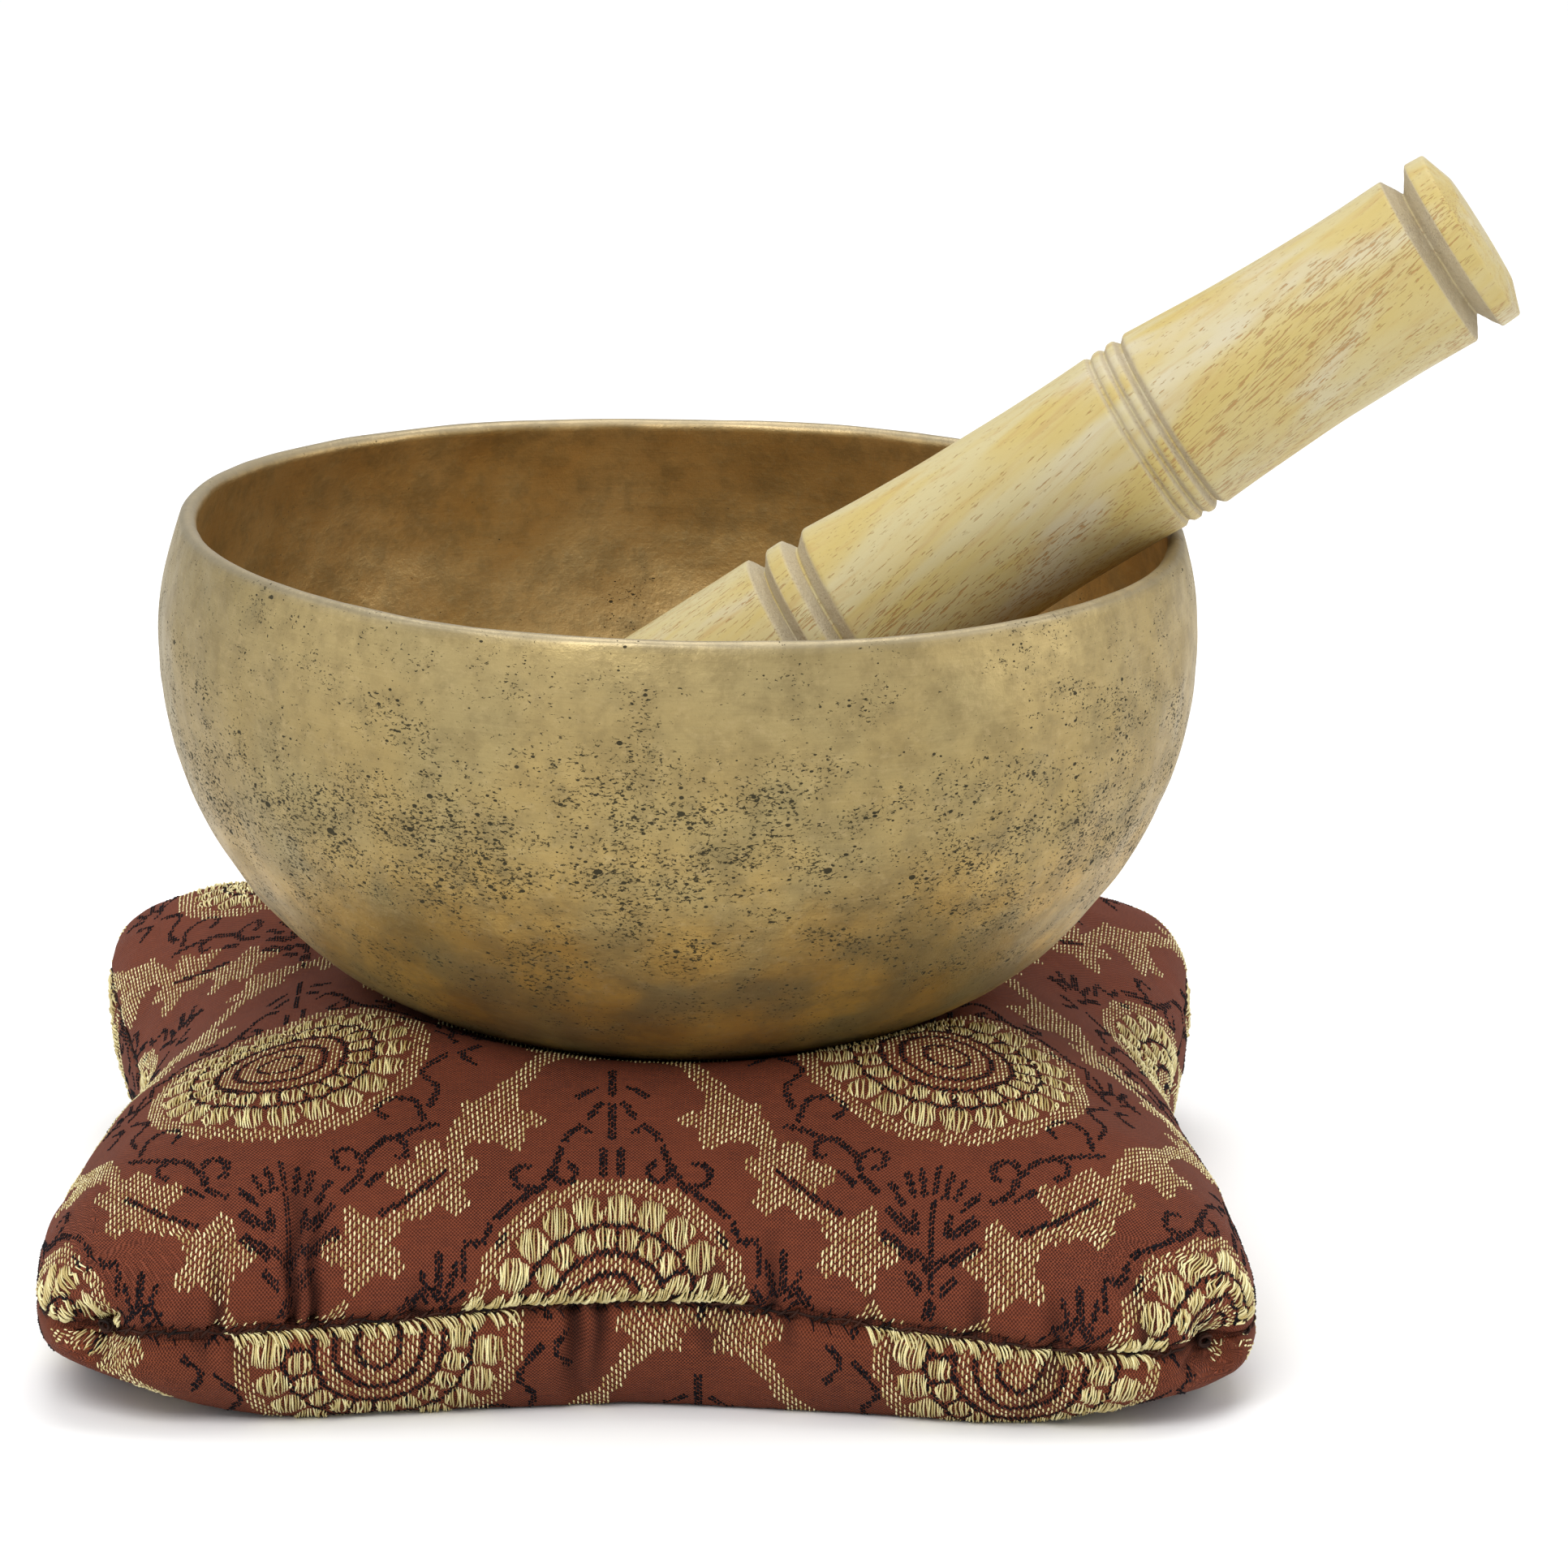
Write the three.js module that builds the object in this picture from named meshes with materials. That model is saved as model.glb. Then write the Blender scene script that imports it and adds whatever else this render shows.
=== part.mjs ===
// Hand-hammered singing bowl on a square brocade cushion, with its turned wooden striker.
// Millimetres, +Z up. The origin is the middle of the cushion's flat underside.
import * as THREE from 'three';

// Bowl: hammered bronze, measured from the middle of its flat foot
const BOWL_HEIGHT = 67.5;
const RIM_RADIUS = 67.6;
const BELLY_RADIUS = 70;
const BELLY_HEIGHT = 51.1;
const FOOT_RADIUS = 22.5;
const WALL_ROUNDNESS = 1.9;        // exponent of the curve from foot to belly; 2 is an ellipse
const WALL_THICKNESS = 2.4;
const BOWL_SEAT = new THREE.Vector3(3.3, 0, 35.3);
const BOWL_LEAN = THREE.MathUtils.degToRad(1.43);
const BOWL_SEGMENTS = 48;

// Striker: one turned piece of pale wood, leaning on the right of the rim
const STRIKER_LENGTH = 173.5;
const STRIKER_SLOPE = THREE.MathUtils.degToRad(32.5);
const STRIKER_TIP = new THREE.Vector3(-34.6, 0, 49.4);
const TIP_RADIUS = 13.9;
const TIP_ROUNDING = 5.5;
const BARREL_STEPS = 5;
const STRIKER_SEGMENTS = 24;

// Cushion: two brocade panels sewn together at mid height round a wadding filling
const CUSHION_HALF_SIDE = 73;      // from the middle to the seam, half way along a side
const EAR_REACH = 7.2;             // how much further out the corners stand than the sides
const CORNER_SQUARENESS = 9;       // superellipse exponent of the plan
const DIMPLE_DEPTH = 2.6;          // where the gathered corner is drawn in
const DIMPLE_WIDTH = THREE.MathUtils.degToRad(4);
const CROWN_HEIGHT = 44;
const SEAM_HEIGHT = 15.5;
const SEAM_DROP = 2.5;             // the seam runs this much lower at the corners
const TOP_FULLNESS = 2.2;
const UNDERSIDE_FULLNESS = 14;
const UNDERSIDE_PRESS = 3;         // how far the weight flattens the underside
const FABRIC = 0.9;
const GAP = 0.35;
const WADDING_GAP = 1.3;
const BOWL_GAP = 0.7;
const DENT_SOFTNESS = 1.4;         // rounds the cloth over into the bowl's dent
const SEAM_PLACE = 0.999;          // a point this far out of 1 counts as lying on the seam
const CUSHION_SEGMENTS = 48;
const TOP_RINGS = 12;
const UNDERSIDE_RINGS = 6;
const THREAD_RADIUS = 0.5;
const SEAM_STEPS = 18;
const TIE_RADIUS = 2.2;
const TIE_CLEAR_ANGLE = THREE.MathUtils.degToRad(3.2);

const corner = (index) => Math.PI / 4 + index * Math.PI / 2;

const material = (color, roughness, metalness = 0) =>
  new THREE.MeshStandardMaterial({ color, roughness, metalness });

const bronze = material(0xa38a5c, 0.4, 1);
const paleWood = material(0xdcc68a, 0.55);
const brocadeTop = material(0x7a3324, 0.85);
const brocadeUnderside = material(0x74301f, 0.85);
const wadding = material(0xe8e2d2, 0.95);
const darkThread = material(0x3a1a14, 0.8);
const tieThread = material(0x4c2018, 0.8);

function named(name, geometry, meshMaterial) {
  const mesh = new THREE.Mesh(geometry, meshMaterial);
  mesh.name = name;
  return mesh;
}

// A solid of revolution about +Z from points of radius and height
function turned(points, segments) {
  const geometry = new THREE.LatheGeometry(points, segments);
  return geometry.rotateX(Math.PI / 2);
}

// ---- Bowl ----

// Height of the bowl's outside above its foot, out to the belly
function bowlOutsideHeight(radius) {
  const across = Math.max(0, radius - FOOT_RADIUS) / (BELLY_RADIUS - FOOT_RADIUS);
  const rise = Math.max(0, 1 - across ** WALL_ROUNDNESS) ** (1 / WALL_ROUNDNESS);
  return BELLY_HEIGHT * (1 - rise);
}

// The wall's outside from the edge of the foot to the start of the rounded lip
function bowlOutside() {
  const points = [];
  const lowerSteps = 10;
  for (let i = 0; i <= lowerSteps; i++) {
    const turn = (i / lowerSteps) * Math.PI / 2;
    const radius = FOOT_RADIUS + (BELLY_RADIUS - FOOT_RADIUS) * Math.sin(turn) ** (2 / WALL_ROUNDNESS);
    const height = BELLY_HEIGHT * (1 - Math.cos(turn) ** (2 / WALL_ROUNDNESS));
    points.push(new THREE.Vector2(radius, height));
  }
  const upperSteps = 3;
  const lipBase = BOWL_HEIGHT - WALL_THICKNESS / 2;
  for (let i = 1; i <= upperSteps; i++) {
    const up = i / upperSteps;
    const radius = BELLY_RADIUS - (BELLY_RADIUS - RIM_RADIUS) * up ** 2;
    points.push(new THREE.Vector2(radius, BELLY_HEIGHT + (lipBase - BELLY_HEIGHT) * up));
  }
  return points;
}

// The same line moved in by the wall's thickness
function bowlInside(outside) {
  return outside.map((point, i) => {
    const before = outside[Math.max(0, i - 1)];
    const after = outside[Math.min(outside.length - 1, i + 1)];
    const along = after.clone().sub(before).normalize();
    const inward = new THREE.Vector2(-along.y, along.x);
    if (i === 0) inward.set(0, 1);
    return point.clone().addScaledVector(inward, WALL_THICKNESS);
  });
}

function makeBowl() {
  const outside = bowlOutside();
  const inside = bowlInside(outside);
  const outerEdge = outside[outside.length - 1];
  const innerEdge = inside[inside.length - 1];
  const middle = outerEdge.clone().add(innerEdge).multiplyScalar(0.5);
  const spoke = outerEdge.clone().sub(middle);
  const lip = [];
  const lipSteps = 4;
  for (let i = 1; i < lipSteps; i++) {
    lip.push(spoke.clone().rotateAround(new THREE.Vector2(), Math.PI * i / lipSteps).add(middle));
  }
  const profile = [
    new THREE.Vector2(0, 0),
    ...outside,
    ...lip,
    ...inside.reverse(),
    new THREE.Vector2(0, WALL_THICKNESS),
  ];
  const bowl = named('bowl', turned(profile, BOWL_SEGMENTS), bronze);
  bowl.position.copy(BOWL_SEAT);
  bowl.rotation.y = BOWL_LEAN;
  return bowl;
}

// ---- Striker ----

// A turned stretch between two heights, hollowed by its waist in the middle
function barrel(fromHeight, fromRadius, toHeight, toRadius, waist) {
  const points = [];
  for (let i = 0; i <= BARREL_STEPS; i++) {
    const along = i / BARREL_STEPS;
    const radius = THREE.MathUtils.lerp(fromRadius, toRadius, along) - waist * 4 * along * (1 - along);
    points.push(new THREE.Vector2(radius, THREE.MathUtils.lerp(fromHeight, toHeight, along)));
  }
  return points;
}

function makeStriker() {
  const point = (radius, height) => new THREE.Vector2(radius, height);
  const tip = [];
  const tipSteps = 3;
  for (let i = 0; i <= tipSteps; i++) {
    const turn = (i / tipSteps) * Math.PI / 2;
    const radius = TIP_RADIUS - TIP_ROUNDING * (1 - Math.sin(turn));
    tip.push(point(radius, TIP_ROUNDING * (1 - Math.cos(turn))));
  }
  const profile = [
    point(0, 0),
    ...tip,
    ...barrel(8, 13.95, 66.2, 14.0, 0.25),
    point(11.7, 67.7),                       // groove below the single bead
    point(13.8, 69.2),
    point(13.85, 71.4),
    point(11.75, 72.9),                      // groove above the single bead
    ...barrel(74.9, 13.65, 119.3, 13.1, 0.6),
    point(12.5, 119.9),                      // three fine grooves with two beads between
    point(13.1, 120.6),
    point(13.1, 121.5),
    point(12.5, 122.1),
    point(13.2, 122.8),
    point(13.2, 123.7),
    point(12.2, 124.5),
    ...barrel(125.5, 13.25, 165.4, 12.45, 0.62),
    point(9.3, 167.2),                       // deep groove under the end knob
    point(12.65, 169.3),
    point(12.5, 172),
    point(8.1, STRIKER_LENGTH),
    point(0, STRIKER_LENGTH),
  ];
  const striker = named('striker', turned(profile, STRIKER_SEGMENTS), paleWood);
  striker.position.copy(STRIKER_TIP);
  striker.rotation.y = Math.PI / 2 - STRIKER_SLOPE;
  return striker;
}

// ---- Cushion ----

// How far the seam is from the middle in a direction of the plan
function seamRadius(angle) {
  const side = CUSHION_HALF_SIDE + EAR_REACH * (1 - Math.cos(4 * angle)) / 2;
  const power = Math.abs(Math.cos(angle)) ** CORNER_SQUARENESS
    + Math.abs(Math.sin(angle)) ** CORNER_SQUARENESS;
  const fromCorner = ((angle % (Math.PI / 2)) + Math.PI / 2) % (Math.PI / 2) - Math.PI / 4;
  const dimple = DIMPLE_DEPTH * Math.exp(-((fromCorner / DIMPLE_WIDTH) ** 2));
  return side / power ** (1 / CORNER_SQUARENESS) - dimple;
}

const seamHeight = (angle) => SEAM_HEIGHT - SEAM_DROP * (1 - Math.cos(4 * angle)) / 2;

// Height of the seated bowl's outside over a point of the plan
function bowlOver(x, y) {
  const fromAxis = Math.hypot(x - BOWL_SEAT.x, y);
  if (fromAxis > BELLY_RADIUS) return BOWL_SEAT.z + BOWL_HEIGHT;
  return BOWL_SEAT.z + bowlOutsideHeight(fromAxis) - (x - BOWL_SEAT.x) * Math.tan(BOWL_LEAN);
}

// How far a face has risen from the seam towards the crown or the floor; across is 0 in the
// middle of the cushion and 1 at the seam
const swellOf = (across, fullness) => Math.sqrt(1 - across ** fullness);

// Height of the top's outer face, pressed in where the bowl sits
function topHeight(angle, across) {
  const seam = seamHeight(angle);
  const reach = seamRadius(angle) * across;
  const pillow = seam + (CROWN_HEIGHT - seam) * swellOf(across, TOP_FULLNESS);
  const dent = bowlOver(reach * Math.cos(angle), reach * Math.sin(angle)) - BOWL_GAP;
  return pillow - DENT_SOFTNESS * Math.log(1 + Math.exp((pillow - dent) / DENT_SOFTNESS));
}

// Height of the underside's outer face, which rests flat on the floor
function undersideHeight(angle, across) {
  const seam = seamHeight(angle);
  return Math.max(0, seam - (seam + UNDERSIDE_PRESS) * swellOf(across, UNDERSIDE_FULLNESS));
}

// A face of the cushion, inset from the outer face by a thickness
function topFace(angle, across, inset) {
  return topHeight(angle, across) - inset * swellOf(across, TOP_FULLNESS);
}

function undersideFace(angle, across, inset) {
  return undersideHeight(angle, across) + inset * swellOf(across, UNDERSIDE_FULLNESS);
}

// Rings from the middle to the seam, closer together where the side turns over
function rings(count) {
  const places = [];
  for (let i = 0; i <= count; i++) places.push(Math.sin((i / count) * Math.PI / 2));
  return places;
}

// Warp a unit lathe into the cushion: its radius is the place between middle and seam,
// and its height picks the layer
function cushionSolid(profile, insetOf, heightOf) {
  const geometry = turned(profile, CUSHION_SEGMENTS);
  const position = geometry.getAttribute('position');
  const place = new THREE.Vector3();
  for (let i = 0; i < position.count; i++) {
    place.fromBufferAttribute(position, i);
    const across = Math.min(1, Math.hypot(place.x, place.y));
    const angle = Math.atan2(place.y, place.x);
    const radius = (seamRadius(angle) - insetOf(place.z)) * across;
    position.setXYZ(i, radius * Math.cos(angle), radius * Math.sin(angle), heightOf(angle, across, place.z));
  }
  geometry.computeVertexNormals();
  return geometry;
}

// A panel's section: layer 0 is its outer face and layer 1 its inner
function panelProfile(count) {
  const outer = rings(count).map((across) => new THREE.Vector2(across, 0));
  const inner = rings(count).map((across) => new THREE.Vector2(across, 1)).reverse();
  return [...outer, ...inner];
}

// The panels' edges stand a little apart at the seam
const seamEdge = (across) => (across > SEAM_PLACE ? GAP / 2 : 0);
const panelInset = (layer) => layer * FABRIC;

function makeTopPanel() {
  const height = (angle, across, layer) => topFace(angle, across, panelInset(layer)) + seamEdge(across);
  const geometry = cushionSolid(panelProfile(TOP_RINGS).reverse(), panelInset, height);
  return named('cushion_top_panel', geometry, brocadeTop);
}

function makeBottomPanel() {
  const height = (angle, across, layer) => undersideFace(angle, across, panelInset(layer)) - seamEdge(across);
  const geometry = cushionSolid(panelProfile(UNDERSIDE_RINGS), panelInset, height);
  return named('cushion_bottom_panel', geometry, brocadeUnderside);
}

// The wadding fills the room between the panels: layer -1 is its underside, 0 its edge at the
// seam and 1 its top
function makeFilling() {
  const inset = FABRIC + WADDING_GAP;
  const underside = rings(UNDERSIDE_RINGS).slice(0, -1).map((across) => new THREE.Vector2(across, -1));
  const top = rings(TOP_RINGS).slice(0, -1).map((across) => new THREE.Vector2(across, 1)).reverse();
  const profile = [...underside, new THREE.Vector2(1, 0), ...top];
  const height = (angle, across, layer) => {
    const side = Math.round(layer);
    if (side > 0) return topFace(angle, across, inset);
    if (side < 0) return undersideFace(angle, across, inset);
    return seamHeight(angle);
  };
  return named('cushion_filling', cushionSolid(profile, () => inset, height), wadding);
}

// A point just outside the seam, where a thread of the given radius lies
function alongSeam(angle, threadRadius) {
  const radius = seamRadius(angle) + threadRadius + GAP;
  return new THREE.Vector3(radius * Math.cos(angle), radius * Math.sin(angle), seamHeight(angle));
}

function makeSeamThread(name, fromAngle, toAngle, steps) {
  const points = [];
  for (let i = 0; i <= steps; i++) {
    points.push(alongSeam(THREE.MathUtils.lerp(fromAngle, toAngle, i / steps), THREAD_RADIUS));
  }
  const section = new THREE.Shape().absarc(0, 0, THREAD_RADIUS, 0, Math.PI * 2);
  const geometry = new THREE.ExtrudeGeometry(section, {
    steps,
    curveSegments: 3,
    bevelEnabled: false,
    extrudePath: new THREE.CatmullRomCurve3(points),
  });
  return named(name, geometry, darkThread);
}

// The loop of thread that gathers a corner, in the bottom of its dimple
function makeCornerTie(name, angle) {
  const geometry = new THREE.TorusGeometry(TIE_RADIUS, THREAD_RADIUS, 5, 12);
  const tie = named(name, geometry, tieThread);
  tie.position.copy(alongSeam(angle, THREAD_RADIUS));
  tie.rotation.set(Math.PI / 2, 0, angle + Math.PI / 2, 'ZYX');
  return tie;
}

function makeCushion() {
  const cushion = new THREE.Group();
  cushion.add(makeTopPanel(), makeBottomPanel(), makeFilling());
  const sides = { back: 0, left: 1, closing: 2, right: 3 };
  Object.entries(sides).forEach(([side, index]) => {
    const from = corner(index) + TIE_CLEAR_ANGLE;
    const to = corner(index + 1) - TIE_CLEAR_ANGLE;
    cushion.add(makeSeamThread(`${side}_seam_thread`, from, to, SEAM_STEPS));
  });
  ['back_right', 'back_left', 'front_left', 'front_right'].forEach((place, index) => {
    cushion.add(makeCornerTie(`corner_tie_${place}`, corner(index)));
  });
  return cushion;
}

const singingBowl = new THREE.Group();
singingBowl.add(makeCushion(), makeBowl(), makeStriker());

export default singingBowl;
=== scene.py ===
"""A hand-hammered singing bowl on its brocade cushion, with its turned wooden striker.

Lengths are in millimetres until a mesh is made. The frame's origin is the middle of the cushion's
flat underside, +X is the side that the striker leans on and -Y is the hand-closed seam.
"""

import bpy
import numpy as np
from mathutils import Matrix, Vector


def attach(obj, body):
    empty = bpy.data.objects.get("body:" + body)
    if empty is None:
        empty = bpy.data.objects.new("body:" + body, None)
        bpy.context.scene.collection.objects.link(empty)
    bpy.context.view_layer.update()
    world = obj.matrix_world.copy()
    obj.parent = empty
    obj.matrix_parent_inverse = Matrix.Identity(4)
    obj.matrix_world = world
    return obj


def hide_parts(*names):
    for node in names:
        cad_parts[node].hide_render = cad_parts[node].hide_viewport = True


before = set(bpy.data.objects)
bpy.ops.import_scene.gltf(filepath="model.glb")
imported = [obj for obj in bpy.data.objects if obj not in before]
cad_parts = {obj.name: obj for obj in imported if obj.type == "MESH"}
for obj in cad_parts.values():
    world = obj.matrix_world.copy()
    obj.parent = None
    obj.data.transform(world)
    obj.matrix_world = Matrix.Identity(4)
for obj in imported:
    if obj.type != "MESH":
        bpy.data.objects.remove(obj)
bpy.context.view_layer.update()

MM = 0.001
TAU = 2 * np.pi
UP = np.array([0, 0, 1])

# Bowl
BOWL_HEIGHT = 67.5
RIM_RADIUS = 67.6
BELLY_RADIUS = 70
BELLY_HEIGHT = 51.1
FOOT_RADIUS = 22.5
WALL_ROUNDNESS = 1.9
WALL = 2.4
BOWL_SEAT = np.array([3.3, 0, 35.3])
BOWL_LEAN = np.radians(1.43)
BOWL_SEGMENTS = 380
RIM_WAVERS = [(0.34, 2, 0.9), (0.22, 3, -0.4), (0.10, 7, 0)]    # height, times round and phase

# Striker
STRIKER_LENGTH = 173.5
STRIKER_TIP = np.array([-34.6, 0, 49.4])
STRIKER_TURN = np.radians(90 - 32.5)
TIP_RADIUS = 13.9
TIP_ROUNDING = 5.5
STRIKER_SEGMENTS = 144

# Cushion
HALF_SIDE = 73
EAR_REACH = 7.2
SQUARENESS = 9
CROWN_HEIGHT = 44
SEAM_HEIGHT = 15.5
SEAM_DROP = 2.5
TOP_FULLNESS = 2.2
UNDERSIDE_FULLNESS = 14
UNDERSIDE_PRESS = 3
EAR_PLACE = 78                      # where an ear's underside is lifted most, along X and along Y
EAR_SPAN = 19
BOWL_GAP = 0.45                     # between the bowl and the cushion's dent
DENT_SOFTNESS = 1.4                 # how widely the dent's edge is rounded
FABRIC = 0.6
WADDING_INSET = 2.6
WADDING_DRAWN_IN = 2.4
FLOOR_CLEARANCE = 0.25              # of the cloth
LEAST_CLEARANCE = 0.03              # of the floats
CORNERS = np.radians([45, 135, 225, 315])
EARS = {                            # how the ears at those corners differ
    "reach": (-1.8, 1.0, 0, 1.8),
    "seam lift": (10.5, 11.5, 0, -2.4),
    "underside lift": (12.5, 14.0, 7.8, 4.4),
    "slimness": (0.15, 0.6, 0, 0),
}
WAISTS = [(np.radians(20), 2.4), (np.radians(160), 5.2)]    # where the sides are drawn in most, and how far
COLUMNS = {"front": 250, "side": 100}
SEAM_ZONE = 0.22                    # share of a panel's rings that lie in the zone beside the seam
RINGS = 125
PLACE_STEPS = 14                    # steps of the search for a flat place on a panel

# Brocade
WEAVE_PITCH = 0.5
REPEAT = (88.4, 97.0)               # flat repeat across and along the cloth, half-dropped
AXIS = -3.8                         # flat place of the medallion that the front seam cuts
BELOW_SEAM = 2.0                    # how far that medallion's middle lies beyond the seam
UNDERSIDE_ORIGIN = (36.0, 81.5)     # flat place of a medallion on the underside, which is turned half round
MEDALLION_RADIUS = 19.8
GATHER = 0.07                       # how much narrower the stitching draws the cloth at the front seam


# ---- Numbers and meshes ----

def unit(vectors):
    """Vectors scaled to a length of 1."""
    return vectors / (np.linalg.norm(vectors, axis=-1, keepdims=True) + 1e-12)


def spoke(angle):
    """Level directions at angles round the Z axis."""
    return np.stack([np.cos(angle), np.sin(angle), 0 * angle], -1)


def lengths_along(line):
    """How far along a line each of its points lies."""
    return np.append(0, np.cumsum(np.linalg.norm(np.diff(line, axis=0), axis=1)))


def at_lengths(wanted, lengths, values):
    """Values kept with the points of a line, at wanted lengths along it."""
    return np.stack([np.interp(wanted, lengths, column) for column in values.T], -1)


def fade(value, none, full):
    """0 up to one limit and 1 from the other, which may be the lower one, and smooth between."""
    t = np.clip((value - none) / (full - none), 0, 1)
    return t * t * (3 - 2 * t)


def centred(value, span):
    """A value brought within half a span of 0 by whole spans."""
    return np.mod(value + span / 2, span) - span / 2


def waves(points, wavelength, seed, count=36):
    """Smooth bumps about a wavelength across, between about -1 and 1, the same on each run."""
    random = np.random.default_rng(seed)
    directions = unit(random.normal(size=(count, 3)))
    lengths = wavelength * random.uniform(0.7, 1.5, count)
    phases = random.uniform(0, TAU, count)
    total = np.zeros(points.shape[:-1])
    for direction, length, phase in zip(directions, lengths, phases):
        total += np.sin(points @ direction * TAU / length + phase)
    return total / np.sqrt(count)


def marks(points, *kinds):
    """Waves of several kinds together, each given by its height, wavelength and seed."""
    return sum(height * waves(points, wavelength, seed) for height, wavelength, seed in kinds)


def mesh_piece(name, points, faces, floats=None, vectors=None):
    """A smooth mesh from points in millimetres, with its attributes."""
    mesh = bpy.data.meshes.new(name)
    mesh.from_pydata(np.asarray(points) * MM, [], faces)
    mesh.polygons.foreach_set("use_smooth", np.ones(len(mesh.polygons), bool))
    for kind, field, attributes in (("FLOAT", "value", floats), ("FLOAT_VECTOR", "vector", vectors)):
        for key, values in (attributes or {}).items():
            layer = mesh.attributes.new(key, kind, "POINT")
            layer.data.foreach_set(field, np.asarray(values, np.float32).ravel())
    piece = bpy.data.objects.new(name, mesh)
    bpy.context.scene.collection.objects.link(piece)
    mesh.update()
    return piece


def dress(piece, material, body, node=None):
    """Gives a piece its material and the body that it rides on, and hides the imported part that it stands
    for, if any.
    """
    piece.data.materials.append(material)
    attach(piece, body)
    if node:
        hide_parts(node)


def wound_faces(rows, columns, first=0):
    """Quads of a grid of rows whose columns close into a ring."""
    row = np.arange(rows - 1)[:, None] * columns
    column = np.arange(columns)[None, :]
    after = (column + 1) % columns
    quads = np.stack([row + column, row + after, row + columns + after, row + columns + column], -1)
    return (quads.reshape(-1, 4) + first).tolist()


def fan_faces(middle, ring_start, columns, flip=False):
    """Triangles from a middle point to a ring."""
    column = np.arange(columns)
    after = (column + 1) % columns
    pair = (after, column) if flip else (column, after)
    return [[middle, int(ring_start + a), int(ring_start + b)] for a, b in zip(*pair)]


def lathe(section, segments):
    """Points and faces of a solid turned about +Z, whose section starts and ends on the axis."""
    angles = np.arange(segments) * TAU / segments
    rings = section[1:-1]
    points = (rings[:, None, :1] * spoke(angles) + rings[:, None, 1:] * UP).reshape(-1, 3)
    bottom, top = len(points), len(points) + 1
    points = np.vstack([points, [0, 0, section[0, 1]], [0, 0, section[-1, 1]]])
    faces = wound_faces(len(rings), segments)
    faces += fan_faces(bottom, 0, segments, flip=True)
    faces += fan_faces(top, (len(rings) - 1) * segments, segments)
    return points, faces


def leaned(points, origin, angle):
    """Points turned about +Y by an angle and moved to their origin."""
    c, s = np.cos(angle), np.sin(angle)
    x, y, z = points.T
    return np.stack([x * c + z * s, y, z * c - x * s], -1) + origin


# ---- Materials ----

class Look:
    """A node material that is painted in layers, with short calls for the nodes that it uses."""

    def __init__(self, name, tone):
        self.material = bpy.data.materials.new(name)
        self.material.use_nodes = True
        self.tree = self.material.node_tree
        self.tone = tone
        self.normal = None

    def feed(self, socket, value):
        if isinstance(value, bpy.types.NodeSocket):
            self.tree.links.new(value, socket)
        elif socket.type == "RGBA":
            socket.default_value = (*value, 1)
        else:
            socket.default_value = value

    def node(self, kind, inputs, **settings):
        """A new node with its settings, and values for some of its inputs by place or by name."""
        node = self.tree.nodes.new("ShaderNode" + kind)
        for name, value in settings.items():
            setattr(node, name, value)
        for key, value in inputs.items():
            self.feed(node.inputs[key], value)
        return node

    def attribute(self, name, output="Fac"):
        return self.node("Attribute", {}, attribute_name=name).outputs[output]

    def part(self, vector, axis):
        return self.node("SeparateXYZ", {0: vector}).outputs["XYZ".index(axis)]

    def math(self, operation, *values):
        return self.node("Math", dict(enumerate(values)), operation=operation).outputs[0]

    def times(self, a, b):
        return self.math("MULTIPLY", a, b)

    def less(self, a, b):
        return self.math("SUBTRACT", a, b)

    def scaled(self, value, scale, shift):
        return self.math("MULTIPLY_ADD", value, scale, shift)

    def stretched(self, vector, scale, shift=(0, 0, 0)):
        inputs = {0: vector, 1: scale, 2: shift}
        return self.node("VectorMath", inputs, operation="MULTIPLY_ADD").outputs[0]

    def turned(self, vector, angles):
        inputs = {"Vector": vector, "Rotation": angles}
        return self.node("VectorRotate", inputs, rotation_type="EULER_XYZ").outputs[0]

    def noise(self, vector, size, detail=2.0, roughness=0.5, distortion=0.0):
        """Noise with features about size millimetres across."""
        inputs = {"Vector": vector, "Scale": 1 / size, "Detail": detail, "Roughness": roughness,
                  "Distortion": distortion}
        return self.node("TexNoise", inputs).outputs[0]

    def cells(self, vector, size):
        """Distance from the nearest scattered point, and that point's own colour."""
        node = self.node("TexVoronoi", {"Vector": vector, "Scale": 1 / size})
        return node.outputs["Distance"], node.outputs["Color"]

    def fade(self, value, none, full, start=0.0, end=1.0):
        """The start up to one limit and the end from the other, and smooth between."""
        inputs = {0: value, 1: none, 2: full, 3: start, 4: end}
        return self.node("MapRange", inputs, interpolation_type="SMOOTHSTEP").outputs[0]

    def mix(self, share, a, b):
        return self.node("Mix", {0: share, 6: a, 7: b}, data_type="RGBA").outputs[2]

    def paint(self, share, tone):
        """Lays a share of a tone over what is painted so far."""
        self.tone = self.mix(share, self.tone, tone)

    def bump(self, height, distance, strength):
        """Adds a bump of a height from 0 to 1, distance millimetres tall."""
        inputs = {"Strength": strength, "Distance": distance * MM, "Height": height}
        if self.normal:
            inputs["Normal"] = self.normal
        self.normal = self.node("Bump", inputs).outputs[0]

    def finish(self, **values):
        """Feeds the tone, the bumps and the named values to the shader."""
        values["Base_Color"] = self.tone
        if self.normal:
            values["Normal"] = self.normal
        shader = self.tree.nodes["Principled BSDF"]
        for name, value in values.items():
            self.feed(shader.inputs[name.replace("_", " ")], value)
        return self.material


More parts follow.
